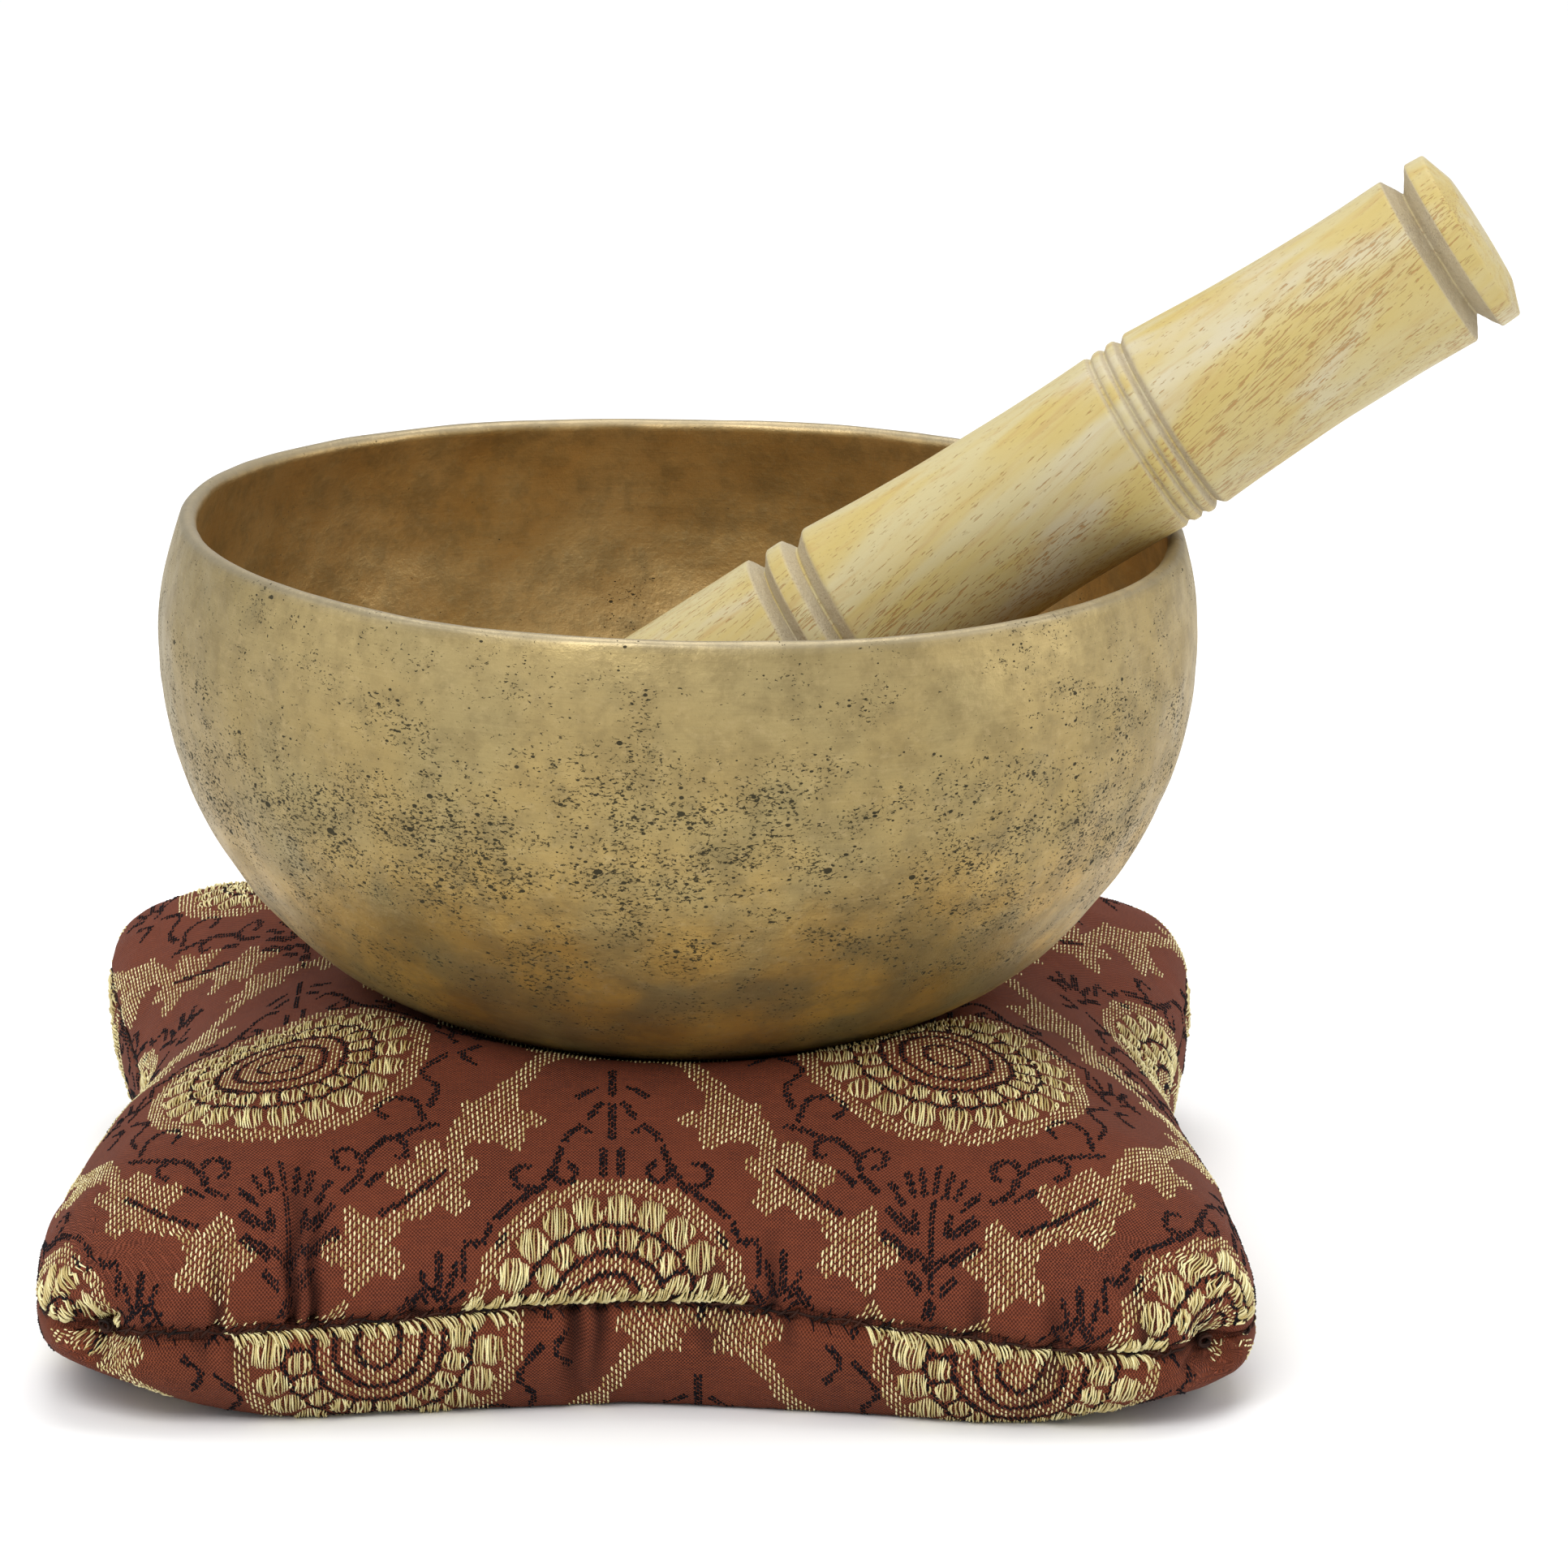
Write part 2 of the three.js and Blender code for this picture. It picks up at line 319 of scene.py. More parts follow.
def antique_bronze():
    """Satin tan bronze with dark pits and flecks gathered in a band and a warm inside, with painted shade on
    its left side and a painted reflection along the lip.
    """
    look = Look("antique_bronze", (0.347, 0.250, 0.094))
    place = look.attribute("place", "Vector")
    inside = look.attribute("inside")
    height = look.part(place, "Z")

    look.paint(look.fade(look.noise(place, 24, 3), 0.38, 0.64), (0.302, 0.236, 0.102))
    warm = look.times(look.fade(look.noise(place, 13, 2), 0.36, 0.60), look.fade(height, 46, 14))
    look.paint(look.times(warm, 0.95), (0.52, 0.325, 0.080))
    look.paint(look.fade(height, 44, 64, 0, 0.6), (0.43, 0.335, 0.155))
    # Painted shade: the bowl's left side is darkened, as if less light fell on it
    look.paint(look.fade(look.part(place, "X"), -22, -68, 0, 0.42), (0.235, 0.190, 0.090))
    within = look.fade(look.noise(place, 20, 2), 0.35, 0.68)
    look.paint(inside, look.mix(within, (0.42, 0.265, 0.092), (0.50, 0.335, 0.135)))
    mottle = look.noise(place, 4.5, 5, 0.68)
    look.paint(look.fade(mottle, 0.40, 0.66, 0, 0.48), (0.205, 0.152, 0.066))
    worn = look.noise(look.stretched(place, (1, 1, 1.3), (3, 11, 6)), 2.2, 5, 0.7)
    look.paint(look.fade(worn, 0.52, 0.70, 0, 0.35), (0.47, 0.36, 0.175))
    brush = look.noise(look.stretched(place, (0.14, 0.14, 5.5)), 1, 3, 0.6)
    look.paint(look.fade(brush, 0.45, 0.78, 0, 0.16), (0.20, 0.145, 0.065))
    sheen = look.noise(look.stretched(place, (0.10, 0.10, 3.6), (7, 3, 5)), 1, 2)
    look.paint(look.fade(sheen, 0.5, 0.8, 0, 0.12), (0.50, 0.40, 0.20))
    # Painted reflection: a pale grey along the lip, weaker on its inside
    look.paint(look.times(look.attribute("lip"), 0.55), (0.33, 0.30, 0.225))

    # Flecks crowd in a band round the middle, and fewer show inside
    from_band = look.math("ABSOLUTE", look.math("DIVIDE", look.less(height, 35), 32))
    band = look.math("MAXIMUM", look.less(1, from_band), -0.6)
    patches = look.noise(look.stretched(place, (0.8, 0.8, 1.2)), 9, 4, 0.65)
    crowd = look.scaled(inside, -0.22, look.scaled(band, 0.20, patches))
    crowd = look.fade(crowd, 0.36, 0.80)
    grit = look.noise(look.stretched(place, (0.8, 0.8, 1.5)), 0.50, 4, 0.68, 0.5)
    pits = look.fade(look.less(grit, look.scaled(crowd, -0.158, 0.696)), 0.0, 0.03)
    specks = look.cells(look.stretched(place, (0.8, 0.8, 1.25)), 0.95)
    spots = look.cells(look.stretched(place, (0.85, 0.85, 1.15), (40, 20, 10)), 2.3)
    for (distance, chance), reach, rare in ((specks, 0.34, 0.40), (spots, 0.22, 0.55)):
        limit = look.times(look.part(chance, "X"), look.scaled(crowd, reach, 0.05))
        dots = look.fade(look.less(limit, distance), 0.0, 0.04)
        dots = look.times(dots, look.fade(look.part(chance, "Y"), rare, rare + 0.08))
        pits = look.math("MAXIMUM", pits, dots)
    stain = look.times(look.fade(look.noise(place, 4.2, 4, 0.6), 0.46, 0.70), crowd)
    look.paint(look.times(stain, 0.42), (0.150, 0.122, 0.060))
    look.paint(look.times(pits, 0.92), (0.034, 0.031, 0.018))

    rough = look.fade(look.noise(place, 9, 3), 0.3, 0.7, 0.43, 0.53)
    rough = look.scaled(inside, -0.04, look.scaled(pits, 0.3, rough))
    look.bump(look.noise(look.stretched(place, (0.25, 0.25, 8)), 1, 3, 0.6), 0.018, 0.45)
    look.bump(mottle, 0.35, 0.55)
    look.bump(worn, 0.10, 0.5)
    look.bump(look.less(1, pits), 0.12, 0.8)
    return look.finish(Metallic=0.82, Roughness=rough)


def pale_wood():
    """Cream to yellow wood with short slanting brown pores, and rough end grain in the grooves."""
    look = Look("pale_wood", (0.485, 0.415, 0.215))
    place = look.attribute("place", "Vector")
    end_grain = look.attribute("end_grain")
    grain = look.turned(place, (0.06, 0.19, 0))

    broad = look.noise(look.stretched(grain, (0.13, 0.13, 0.016)), 1, 3, 0.55, 0.6)
    look.paint(look.fade(broad, 0.36, 0.62), (0.47, 0.363, 0.122))
    pale = look.noise(look.stretched(grain, (0.10, 0.10, 0.03), (9, 4, 2)), 1, 3)
    look.paint(look.fade(pale, 0.50, 0.68, 0, 0.85), (0.50, 0.447, 0.315))
    ring = look.noise(look.stretched(grain, (0.75, 0.75, 0.035)), 1, 4, 0.6, 0.5)
    look.paint(look.fade(ring, 0.50, 0.72, 0, 0.5), (0.40, 0.25, 0.085))
    patch = look.noise(look.stretched(grain, (0.11, 0.11, 0.022), (2, 8, 5)), 1, 2)
    crowd = look.scaled(look.part(place, "X"), 0.008, patch)
    pore = look.noise(look.stretched(grain, (4.0, 4.0, 0.34)), 1, 3, 0.6)
    pores = look.fade(look.less(pore, look.fade(crowd, 0.36, 0.66, 0.630, 0.530)), 0.0, 0.06)
    look.paint(look.times(pores, 0.78), (0.33, 0.180, 0.055))
    fuzz = look.noise(place, 0.35, 3, 0.7)
    look.paint(look.times(end_grain, 0.85), look.mix(fuzz, (0.31, 0.25, 0.16), (0.52, 0.445, 0.31)))

    rough = look.scaled(end_grain, 0.3, look.fade(ring, 0.3, 0.7, 0.44, 0.56))
    look.bump(look.less(1, pores), 0.07, 0.7)
    look.bump(look.noise(look.stretched(grain, (3, 3, 0.2)), 1, 3), 0.03, 0.4)
    look.bump(look.times(fuzz, end_grain), 0.22, 0.7)
    return look.finish(Roughness=rough, Specular_IOR_Level=0.38)


def brocade_ground(name, bright):
    """Plain-woven rust cloth: threads at the weave's real pitch and slubs, with painted shade between the
    threads, a painted highlight on their crowns and painted shade in the folds.
    """
    look = Look(name, (0.086, 0.0185, 0.0078))
    cloth = look.attribute("cloth", "Vector")
    turns = [look.times(look.part(cloth, axis), TAU / WEAVE_PITCH) for axis in "XY"]
    crossing = look.times(look.math("SINE", turns[0]), look.math("SINE", turns[1]))
    weave = look.scaled(crossing, 0.5, 0.5)
    slub = look.noise(look.stretched(cloth, (0.35, 5.0, 1)), 1, 3, 0.6)
    warp = look.noise(look.stretched(cloth, (5.0, 0.3, 1)), 1, 2)
    look.paint(look.fade(slub, 0.3, 0.7), bright)
    look.paint(look.fade(warp, 0.45, 0.75, 0, 0.45), (0.225, 0.056, 0.021))
    # Painted shade between the threads, and a painted highlight on their crowns
    look.paint(look.fade(weave, 0.48, 0.12), (0.018, 0.004, 0.003))
    look.paint(look.fade(weave, 0.62, 0.95, 0, 0.55), (0.300, 0.098, 0.064))
    look.paint(look.fade(look.noise(cloth, 16, 3), 0.35, 0.7, 0, 0.3), (0.175, 0.039, 0.016))
    # Painted shade in the folds, the creases, the seam's groove and the tie dimples
    look.paint(look.times(look.attribute("fold_shade"), 0.88), (0.012, 0.004, 0.003))
    look.bump(weave, 0.17, 0.9)
    look.bump(slub, 0.08, 0.6)
    return look.finish(Roughness=0.82, Specular_IOR_Level=0.16, Sheen_Weight=0.04, Sheen_Roughness=0.5,
                       Sheen_Tint=(0.75, 0.38, 0.28))


def float_thread(name, dark, light, roughness, shine):
    """Silky thread whose tone changes from float to float and along its length."""
    look = Look(name, dark)
    ply = look.noise(look.stretched(look.attribute("cloth", "Vector"), (6, 0.9, 1)), 1, 2)
    look.paint(look.attribute("shade"), light)
    look.paint(look.fade(ply, 0.45, 0.8, 0, 0.5), dark)
    look.bump(ply, 0.05, 0.5)
    return look.finish(Roughness=roughness, Specular_IOR_Level=shine)


def cotton_wadding():
    look = Look("cotton_wadding", (0.62, 0.57, 0.46))
    fibre = look.noise(look.attribute("cloth", "Vector"), 1.6, 4, 0.7, 1.2)
    look.paint(fibre, (0.86, 0.83, 0.74))
    look.bump(fibre, 0.8, 0.7)
    return look.finish(Roughness=0.95)


# ---- Bowl ----

def bowl_outside_height(radius):
    across = np.clip((radius - FOOT_RADIUS) / (BELLY_RADIUS - FOOT_RADIUS), 0, 1)
    return BELLY_HEIGHT * (1 - (1 - across ** WALL_ROUNDNESS) ** (1 / WALL_ROUNDNESS))


def bowl_section():
    """The wall's section from the middle of the foot, up the outside, over the lip and down inside,
    with each point's normal and how far it belongs to the inside and to the lip."""
    turn = np.linspace(0, TAU / 4, 74)
    power = 2 / WALL_ROUNDNESS
    lower = np.stack([FOOT_RADIUS + (BELLY_RADIUS - FOOT_RADIUS) * np.sin(turn) ** power,
                      BELLY_HEIGHT * (1 - np.cos(turn) ** power)], -1)
    up = np.linspace(0, 1, 20)[1:]
    lip_base = BOWL_HEIGHT - WALL / 2
    upper = np.stack([BELLY_RADIUS - (BELLY_RADIUS - RIM_RADIUS) * up ** 2,
                      BELLY_HEIGHT + (lip_base - BELLY_HEIGHT) * up], -1)
    foot = np.stack([np.linspace(0, FOOT_RADIUS, 12)[:-1], np.zeros(11)], -1)
    outside = np.vstack([foot, lower, upper])
    along = unit(np.gradient(outside, axis=0))
    out_normal = np.stack([along[:, 1], -along[:, 0]], -1)
    out_normal[:len(foot)] = (0, -1)
    inside = outside - out_normal * WALL
    middle = (outside[-1] + inside[-1]) / 2
    around = np.linspace(0, TAU / 2, 13)[1:-1, None]
    first = outside[-1] - middle
    lip = first * np.cos(around) + first[::-1] * (-1, 1) * np.sin(around)
    section = np.vstack([outside, middle + lip, inside[::-1]])
    normals = np.vstack([out_normal, lip / (WALL / 2), -out_normal[::-1]])
    count = len(outside)
    inward = np.concatenate([np.zeros(count), np.linspace(0, 1, len(lip) + 2)[1:-1], np.ones(count)])
    # The lip's share, less inside: it carries the painted reflection in the bronze and softens the hammer
    # marks
    rim = fade(section[:, 1], BOWL_HEIGHT - 1.5, BOWL_HEIGHT - 0.6)
    rim = rim * np.where(inward < 1, 1, 0.35)
    return section, normals, inward, rim


def round_lathe(values, segments):
    """Values kept with a section's points, repeated for the points of its lathe."""
    return np.concatenate([np.repeat(values[1:-1], segments, axis=0), values[[0, -1]]])


def make_bowl():
    section, normals, inward, rim = bowl_section()
    points, faces = lathe(section, BOWL_SEGMENTS)
    inward, rim, normals = (round_lathe(values, BOWL_SEGMENTS) for values in (inward, rim, normals))
    angle = np.arctan2(points[:, 1], points[:, 0])
    normal = spoke(angle) * normals[:, :1] + normals[:, 1:] * UP
    away = 1 - fade(-points[:, 2], -14, -2)          # the foot stays plain where it rests
    hammered = marks(points, (0.16, 19, 11), (0.07, 9, 12))
    dented = marks(points, (0.14, 15, 13), (0.05, 7, 14))
    offset = np.where(inward > 0.5, dented, hammered) * away * (1 - 0.7 * rim)
    shaped = points + normal * offset[:, None]
    # The rim was cut by hand: it wavers a little in height and in thickness
    rise = fade(points[:, 2], BELLY_HEIGHT, BOWL_HEIGHT)
    for height, times, phase in RIM_WAVERS:
        shaped[:, 2] += rise * height * np.sin(times * angle + phase)
    shaped[:, :2] *= 1 + (rise * 0.0022 * np.sin(3 * angle + 1.2))[:, None]
    bowl = mesh_piece("hammered_bowl", leaned(shaped, BOWL_SEAT, BOWL_LEAN), faces,
                      {"inside": inward, "lip": rim}, {"place": points})
    dress(bowl, antique_bronze(), "bowl", "bowl")


# ---- Striker ----

def barrel(from_height, from_radius, to_height, to_radius, waist):
    along = np.linspace(0, 1, 46)
    radius = from_radius + (to_radius - from_radius) * along - waist * 4 * along * (1 - along)
    return np.stack([radius, from_height + (to_height - from_height) * along], -1)


def worked(points, step=0.3, softness=0.14):
    """A turned outline with its straight cuts divided and its edges slightly softened."""
    length = lengths_along(points)
    even = at_lengths(np.linspace(0, length[-1], int(length[-1] / step)), length, points)
    soft = even.copy()
    soft[1:-1] += (even[:-2] + even[2:] - 2 * even[1:-1]) * softness
    return soft


def striker_section():
    turn = np.linspace(0, TAU / 4, 16)
    tip = np.stack([TIP_RADIUS - TIP_ROUNDING * (1 - np.sin(turn)), TIP_ROUNDING * (1 - np.cos(turn))], -1)
    outline = np.vstack([
        [[0.01, 0], [4, 0]],
        tip,
        barrel(8, 13.95, 66.2, 14.0, 0.25),
        [[11.7, 67.7], [13.8, 69.2], [13.85, 71.4], [11.75, 72.9]],
        barrel(74.9, 13.65, 119.3, 13.1, 0.6),
        [[12.5, 119.9], [13.1, 120.6], [13.1, 121.5], [12.5, 122.1], [13.2, 122.8], [13.2, 123.7],
         [12.2, 124.5]],
        barrel(125.5, 13.25, 165.4, 12.45, 0.62),
        [[9.3, 167.2], [12.65, 169.3], [12.5, 172], [8.1, STRIKER_LENGTH], [0.01, STRIKER_LENGTH]],
    ])
    return np.vstack([[0, 0], worked(outline), [0, STRIKER_LENGTH]])


def make_striker():
    section = striker_section()
    slope = np.gradient(section[:, 0]) / (np.hypot(*np.gradient(section, axis=0).T) + 1e-9)
    turned_face = (section[:, 1] > TIP_ROUNDING) & (section[:, 1] < STRIKER_LENGTH - 3)
    steep = fade(np.abs(slope), 0.35, 0.72) * turned_face
    points, faces = lathe(section, STRIKER_SEGMENTS)
    end_grain = round_lathe(steep, STRIKER_SEGMENTS)
    offset = marks(points, (0.05, 14, 21)) + end_grain * marks(points, (0.07, 1.6, 22))
    shaped = points + unit(points * (1, 1, 0)) * offset[:, None]
    striker = mesh_piece("turned_striker", leaned(shaped, STRIKER_TIP, STRIKER_TURN), faces,
                         {"end_grain": end_grain}, {"place": points})
    dress(striker, pale_wood(), "striker", "striker")


# ---- Cushion's shape ----

def towards(angle, direction, width):
    """1 in one direction, fading to 0 away from it."""
    return np.exp((np.cos(angle - direction) - 1) / width ** 2)


def at_ears(angle, what, width):
    """What the ears add in one respect, fading away from each corner."""
    return sum(value * towards(angle, corner, width) for value, corner in zip(EARS[what], CORNERS))


def corner_share(angle):
    """0 at the middle of a side and 1 at a corner."""
    return (1 - np.cos(4 * angle)) / 2


def seam_radius(angle):
    side = HALF_SIDE + EAR_REACH * corner_share(angle) + at_ears(angle, "reach", 0.25)
    for direction, drawn_in in WAISTS:
        side = side - drawn_in * towards(angle, direction, 0.28)
    power = np.abs(np.cos(angle)) ** SQUARENESS + np.abs(np.sin(angle)) ** SQUARENESS
    return side / power ** (1 / SQUARENESS)


def seam_height(angle):
    return SEAM_HEIGHT - SEAM_DROP * corner_share(angle) + at_ears(angle, "seam lift", 0.26)


def swell(across, fullness):
    return np.sqrt(np.clip(1 - across ** fullness, 0, 1))


def top_height(angle, across):
    """The pillow's top, pressed in by the seated bowl."""
    seam = seam_height(angle)
    reach = seam_radius(angle) * across
    fullness = TOP_FULLNESS - at_ears(angle, "slimness", 0.3)
    pillow = seam + (CROWN_HEIGHT - seam) * swell(across, fullness)
    beside = reach * np.cos(angle) - BOWL_SEAT[0]
    from_axis = np.hypot(beside, reach * np.sin(angle))
    dent = BOWL_SEAT[2] + bowl_outside_height(from_axis) - beside * np.tan(BOWL_LEAN) - BOWL_GAP
    dent = np.where(from_axis > BELLY_RADIUS, BOWL_SEAT[2] + BOWL_HEIGHT, dent)
    return pillow - DENT_SOFTNESS * np.logaddexp(0, (pillow - dent) / DENT_SOFTNESS)


def underside_height(angle, across):
    seam = seam_height(angle)
    lowest = np.maximum(0, seam - (seam + UNDERSIDE_PRESS) * swell(across, UNDERSIDE_FULLNESS))
    reach = seam_radius(angle) * across
    x, y = np.abs(reach * np.cos(angle)), np.abs(reach * np.sin(angle))
    in_corner = np.exp(-(np.hypot(x - EAR_PLACE, y - EAR_PLACE) / EAR_SPAN) ** 2)
    lift = at_ears(angle, "underside lift", 0.6)
    return np.maximum(FLOOR_CLEARANCE, lowest + in_corner * lift * (1 - across ** 24))


def panel_angles():
    """Columns round the cushion, closest together along the hand-closed front seam."""
    sides = []
    for corner in CORNERS:
        count = COLUMNS["front" if np.isclose(corner, CORNERS[2]) else "side"]
        sides.append(corner + np.arange(count) * (TAU / 4) / count)
    return np.concatenate(sides)


def ring_shares():
    """How far out each ring lies along the cloth: 0 in the middle and 1 at the seam."""
    near = int(RINGS * 0.42)
    inner = np.linspace(0, 1 - SEAM_ZONE, RINGS - near, endpoint=False)
    outer = 1 - SEAM_ZONE * (1 - np.linspace(0, 1, near + 1)) ** 1.25
    return np.concatenate([inner, outer])[1:]


# Creases that start at the front seam: place along X, slant, length, depth and half width
TOP_CREASES = [
    (-44.8, 0.04, 30, 2.6, 0.8), (-42.1, 0.02, 26, 2.3, 0.75), (-54.5, 0.05, 13, 1.6, 0.85),
    (17, 0.04, 12, 0.9, 0.9), (43, 0.1, 9, 0.8, 1.1), (-29, 0, 6, 0.6, 1.1), (54, -0.1, 8, 0.8, 1.2),
    (-15, 0.1, 5, 0.5, 0.9), (30, -0.08, 6, 0.6, 0.9), (66, -0.2, 12, 1.1, 1.4),
]
UNDERSIDE_CREASES = [
    (-8.6, 0.03, 17, 1.8, 1.1), (-5.2, -0.02, 13, 1.4, 1.0), (54, -0.35, 12, 1.3, 1.4),
    (19, 0, 7, 0.7, 1.1), (-52, 0.1, 9, 0.8, 1.3), (33, -0.1, 8, 0.7, 1.2),
]
DIMPLES = {                         # where the ties draw the corners in: place in plan, depth and reach
    "front_left": ((-71.0, -77.5), 4.6, 3.6),
    "front_right": ((75.5, -76.5), 4.8, 4.2),
    "back_left": ((-74.4, 74.4), 3.6, 3.8),
    "back_right": ((72.6, 72.6), 3.6, 3.8),
}
TIE_ACROSS, TIE_ALONG = 0.5, 0.86   # how far outward from a tie goes along X and along Y


def tie_place(x, y):
    """Where the tie at a place in plan stands on the seam, and which way is outward there."""
    outward = np.array([np.sign(x) * TIE_ACROSS, np.sign(y) * TIE_ALONG, 0])
    return np.array([x, y, seam_height(np.arctan2(y, x))]), outward


def ruffle(angle, shares, seam_length, along, creases, upper):
    """How far the cloth stands out from the plain pillow, and how deep it lies in a fold, which sets the
    painted shade there.
    """
    from_seam = (1 - shares) * seam_length
    front = fade(-np.sin(angle) - np.abs(np.cos(angle)), -0.06, 0.04)
    side = spoke(angle) * seam_length[..., None]
    groove_depth, groove_width = 0.75 + 1.15 * front, 0.9 + 0.75 * front
    groove = -groove_depth * np.exp(-(from_seam / groove_width) ** 2)
    plump = 0.55 * np.exp(-((from_seam - 6) / 4) ** 2) * (0.4 + 0.6 * front)
    reach = 4.2 + marks(side, (2.4, 12, 33)) if upper else 5.0 + marks(side, (2.4, 14, 34))
    gathers = (0.16 + 0.36 * front) * np.exp(-from_seam / np.clip(reach, 1.4, 9))
    gathers = gathers * marks(side, (0.9, 5.2, 31), (0.7, 9.5, 32))
    gathers = gathers * (1 - 0.55 * np.exp(-(from_seam / 0.7) ** 2))
    offset = groove + plump + gathers
    # The depth is painted shade: it darkens the seam's groove, the sunk gathers and the creases
    depth = 0.5 * front * np.exp(-(from_seam / 0.8) ** 2) + fade(-gathers, 0.16, 0.5) * 0.5
    for place, slant, length, deep, width in creases:
        line = place + slant * from_seam + 0.35 * np.sin(from_seam * 0.5)
        away = (along - line) / (width * (1 + 0.03 * from_seam))
        fall = np.clip(1 - from_seam / length, 0, 1) ** 0.7 * front
        banks = 0.42 * np.exp(-((np.abs(away) - 1.75) / 0.8) ** 2)
        offset = offset + fall * deep * (banks - np.exp(-away ** 2))
        depth = depth + fall * np.exp(-(away / 0.9) ** 2) * min(1, deep)
    return offset, np.clip(depth, 0, 1)


def cloth_run(start, end, height):
    """How long the cloth is between plan places, over the plain pillow."""
    steps = np.sin(np.linspace(0, TAU / 4, 36))
    path = start[..., None, :] + (end - start)[..., None, :] * steps[:, None]
    angle = np.arctan2(path[..., 1], path[..., 0])
    across = np.minimum(1, np.hypot(path[..., 0], path[..., 1]) / seam_radius(angle))
    along = np.linalg.norm(np.diff(path, axis=-2), axis=-1)
    return np.hypot(along, np.diff(height(angle, across), axis=-1)).sum(-1)


def grid_normals(points):
    """Normals of a grid of angle by ring, whose angles close into a ring."""
    around = np.roll(points, -1, 0) - np.roll(points, 1, 0)
    outward = np.gradient(points, axis=1)
    return unit(np.cross(outward, around))


class Panel:
    """One face of the cushion: a grid of places by angle and ring, with its flat cloth places."""

    def __init__(self, height, creases, upper):
        self.upper = upper
        self.angles = panel_angles()
        self.shares = ring_shares()
        angle = self.angles[:, None]
        fine = np.sin(np.linspace(0, TAU / 4, 500))[None, :]
        reach = seam_radius(angle) * fine
        rise = height(angle, fine)
        step = np.hypot(np.diff(reach, axis=1), np.diff(rise, axis=1))
        length = np.concatenate([np.zeros((len(angle), 1)), np.cumsum(step, axis=1)], 1)
        self.seam_length = length[:, -1]
        across = np.array([np.interp(self.shares * row[-1], row, fine[0]) for row in length])
        radius = seam_radius(angle) * across
        self.points = radius[..., None] * spoke(angle) + height(angle, across)[..., None] * UP
        normals = grid_normals(self.points) * (1 if upper else -1)
        self.cloth = self.lie_flat(height)
        offset, self.depth = ruffle(np.broadcast_to(angle, across.shape), self.shares[None, :],
                                    np.broadcast_to(self.seam_length[:, None], across.shape),
                                    self.points[..., 0], creases, upper)
        normals[:, -1] = spoke(self.angles)
        self.points = self.points + normals * offset[..., None]
        self.dimple()
        slack = marks(self.points, (0.35, 26, 41), (0.10, 11, 42)) * (1 if upper else 0.5)
        slack = slack * fade(1 - self.shares, 0.0, 0.08) * fade(self.shares, 0.45, 0.6)
        self.points = self.points + normals * slack[..., None]
        self.points[..., 2] = np.maximum(self.points[..., 2], FLOOR_CLEARANCE)

    def lie_flat(self, height):
        """Flat cloth places of the grid: how far the cloth runs along X and along Y to each place."""
        plan = self.points[..., :2]
        runs = [np.sign(plan[..., k]) * cloth_run(plan * (k == 1, k == 0), plan, height) for k in (0, 1)]
        self.follow_rings(runs, plan)
        from_seam = (1 - self.shares)[None, :] * self.seam_length[:, None]
        front = np.clip(-np.sin(self.angles), 0, 1)[:, None] ** 2
        narrowed = 1 - GATHER * front * fade(from_seam, 45, 12)
        # The front edge was cut straight, so the cloth runs equally far to it all along
        edge = self.in_front()
        to_edge = np.interp(plan[..., 0], plan[edge, -1, 0], runs[1][edge, -1])
        straight = np.where(plan[..., 1] < 0, runs[1][np.argmin(np.sin(self.angles)), -1] / to_edge, 1)
        return np.stack([runs[0] / narrowed, runs[1] * straight], -1)

    def follow_rings(self, runs, plan):
        """Beside the seam, the cloth's runs are taken round the rings, from the middle of each side."""
        angle = np.arctan2(plan[..., 1], plan[..., 0])
        share = np.linalg.norm(plan, axis=-1) / seam_radius(angle)
        turn = np.linspace(-TAU / 8, TAU / 8, 121)
        for middle, k, sense in ((0, 1, 1), (TAU / 4, 0, -1), (TAU / 2, 1, -1), (-TAU / 4, 0, 1)):
            away = centred(angle - middle, TAU)
            length = lengths_along(seam_radius(middle + turn)[:, None] * spoke(turn))
            round_run = sense * share * np.interp(away, turn, length - length[len(turn) // 2])
            near = fade(share, 0.5, 0.86) * fade(np.abs(away), TAU / 8, TAU / 12)
            runs[k] = runs[k] * (1 - near) + round_run * near

    def in_front(self):
        """Which of the panel's columns run to the front seam."""
        return -np.sin(self.angles) > np.abs(np.cos(self.angles)) - 0.01

    def dimple(self):
        """Draws the cloth in round each corner tie, and gathers it in folds towards the tie."""
        for place, deep, reach in DIMPLES.values():
            middle, outward = tie_place(*place)
            away = self.points - middle
            distance = np.linalg.norm(away, axis=-1)
            sideways = away[..., 0] * TIE_ALONG - away[..., 1] * TIE_ACROSS * np.sign(place[0])
            turn = np.arctan2(away[..., 2], sideways)
            folds = 0.55 * np.sin(turn * 6 + 0.9 * np.sin(turn * 2))
            folds *= np.exp(-((distance - reach) / (reach * 0.75)) ** 2)
            pull = deep * np.exp(-(distance / reach) ** 2) - folds
            self.points = self.points - outward * pull[..., None]
            # The pit round the tie and the folds' hollows get painted shade too
            pit = np.exp(-(distance / (reach * 0.45)) ** 2)
            self.depth = np.clip(self.depth + 0.8 * pit + 0.35 * fade(-folds, 0.2, 0.5), 0, 1)

    def finish(self):
        self.normals = grid_normals(self.points) * (1 if self.upper else -1)

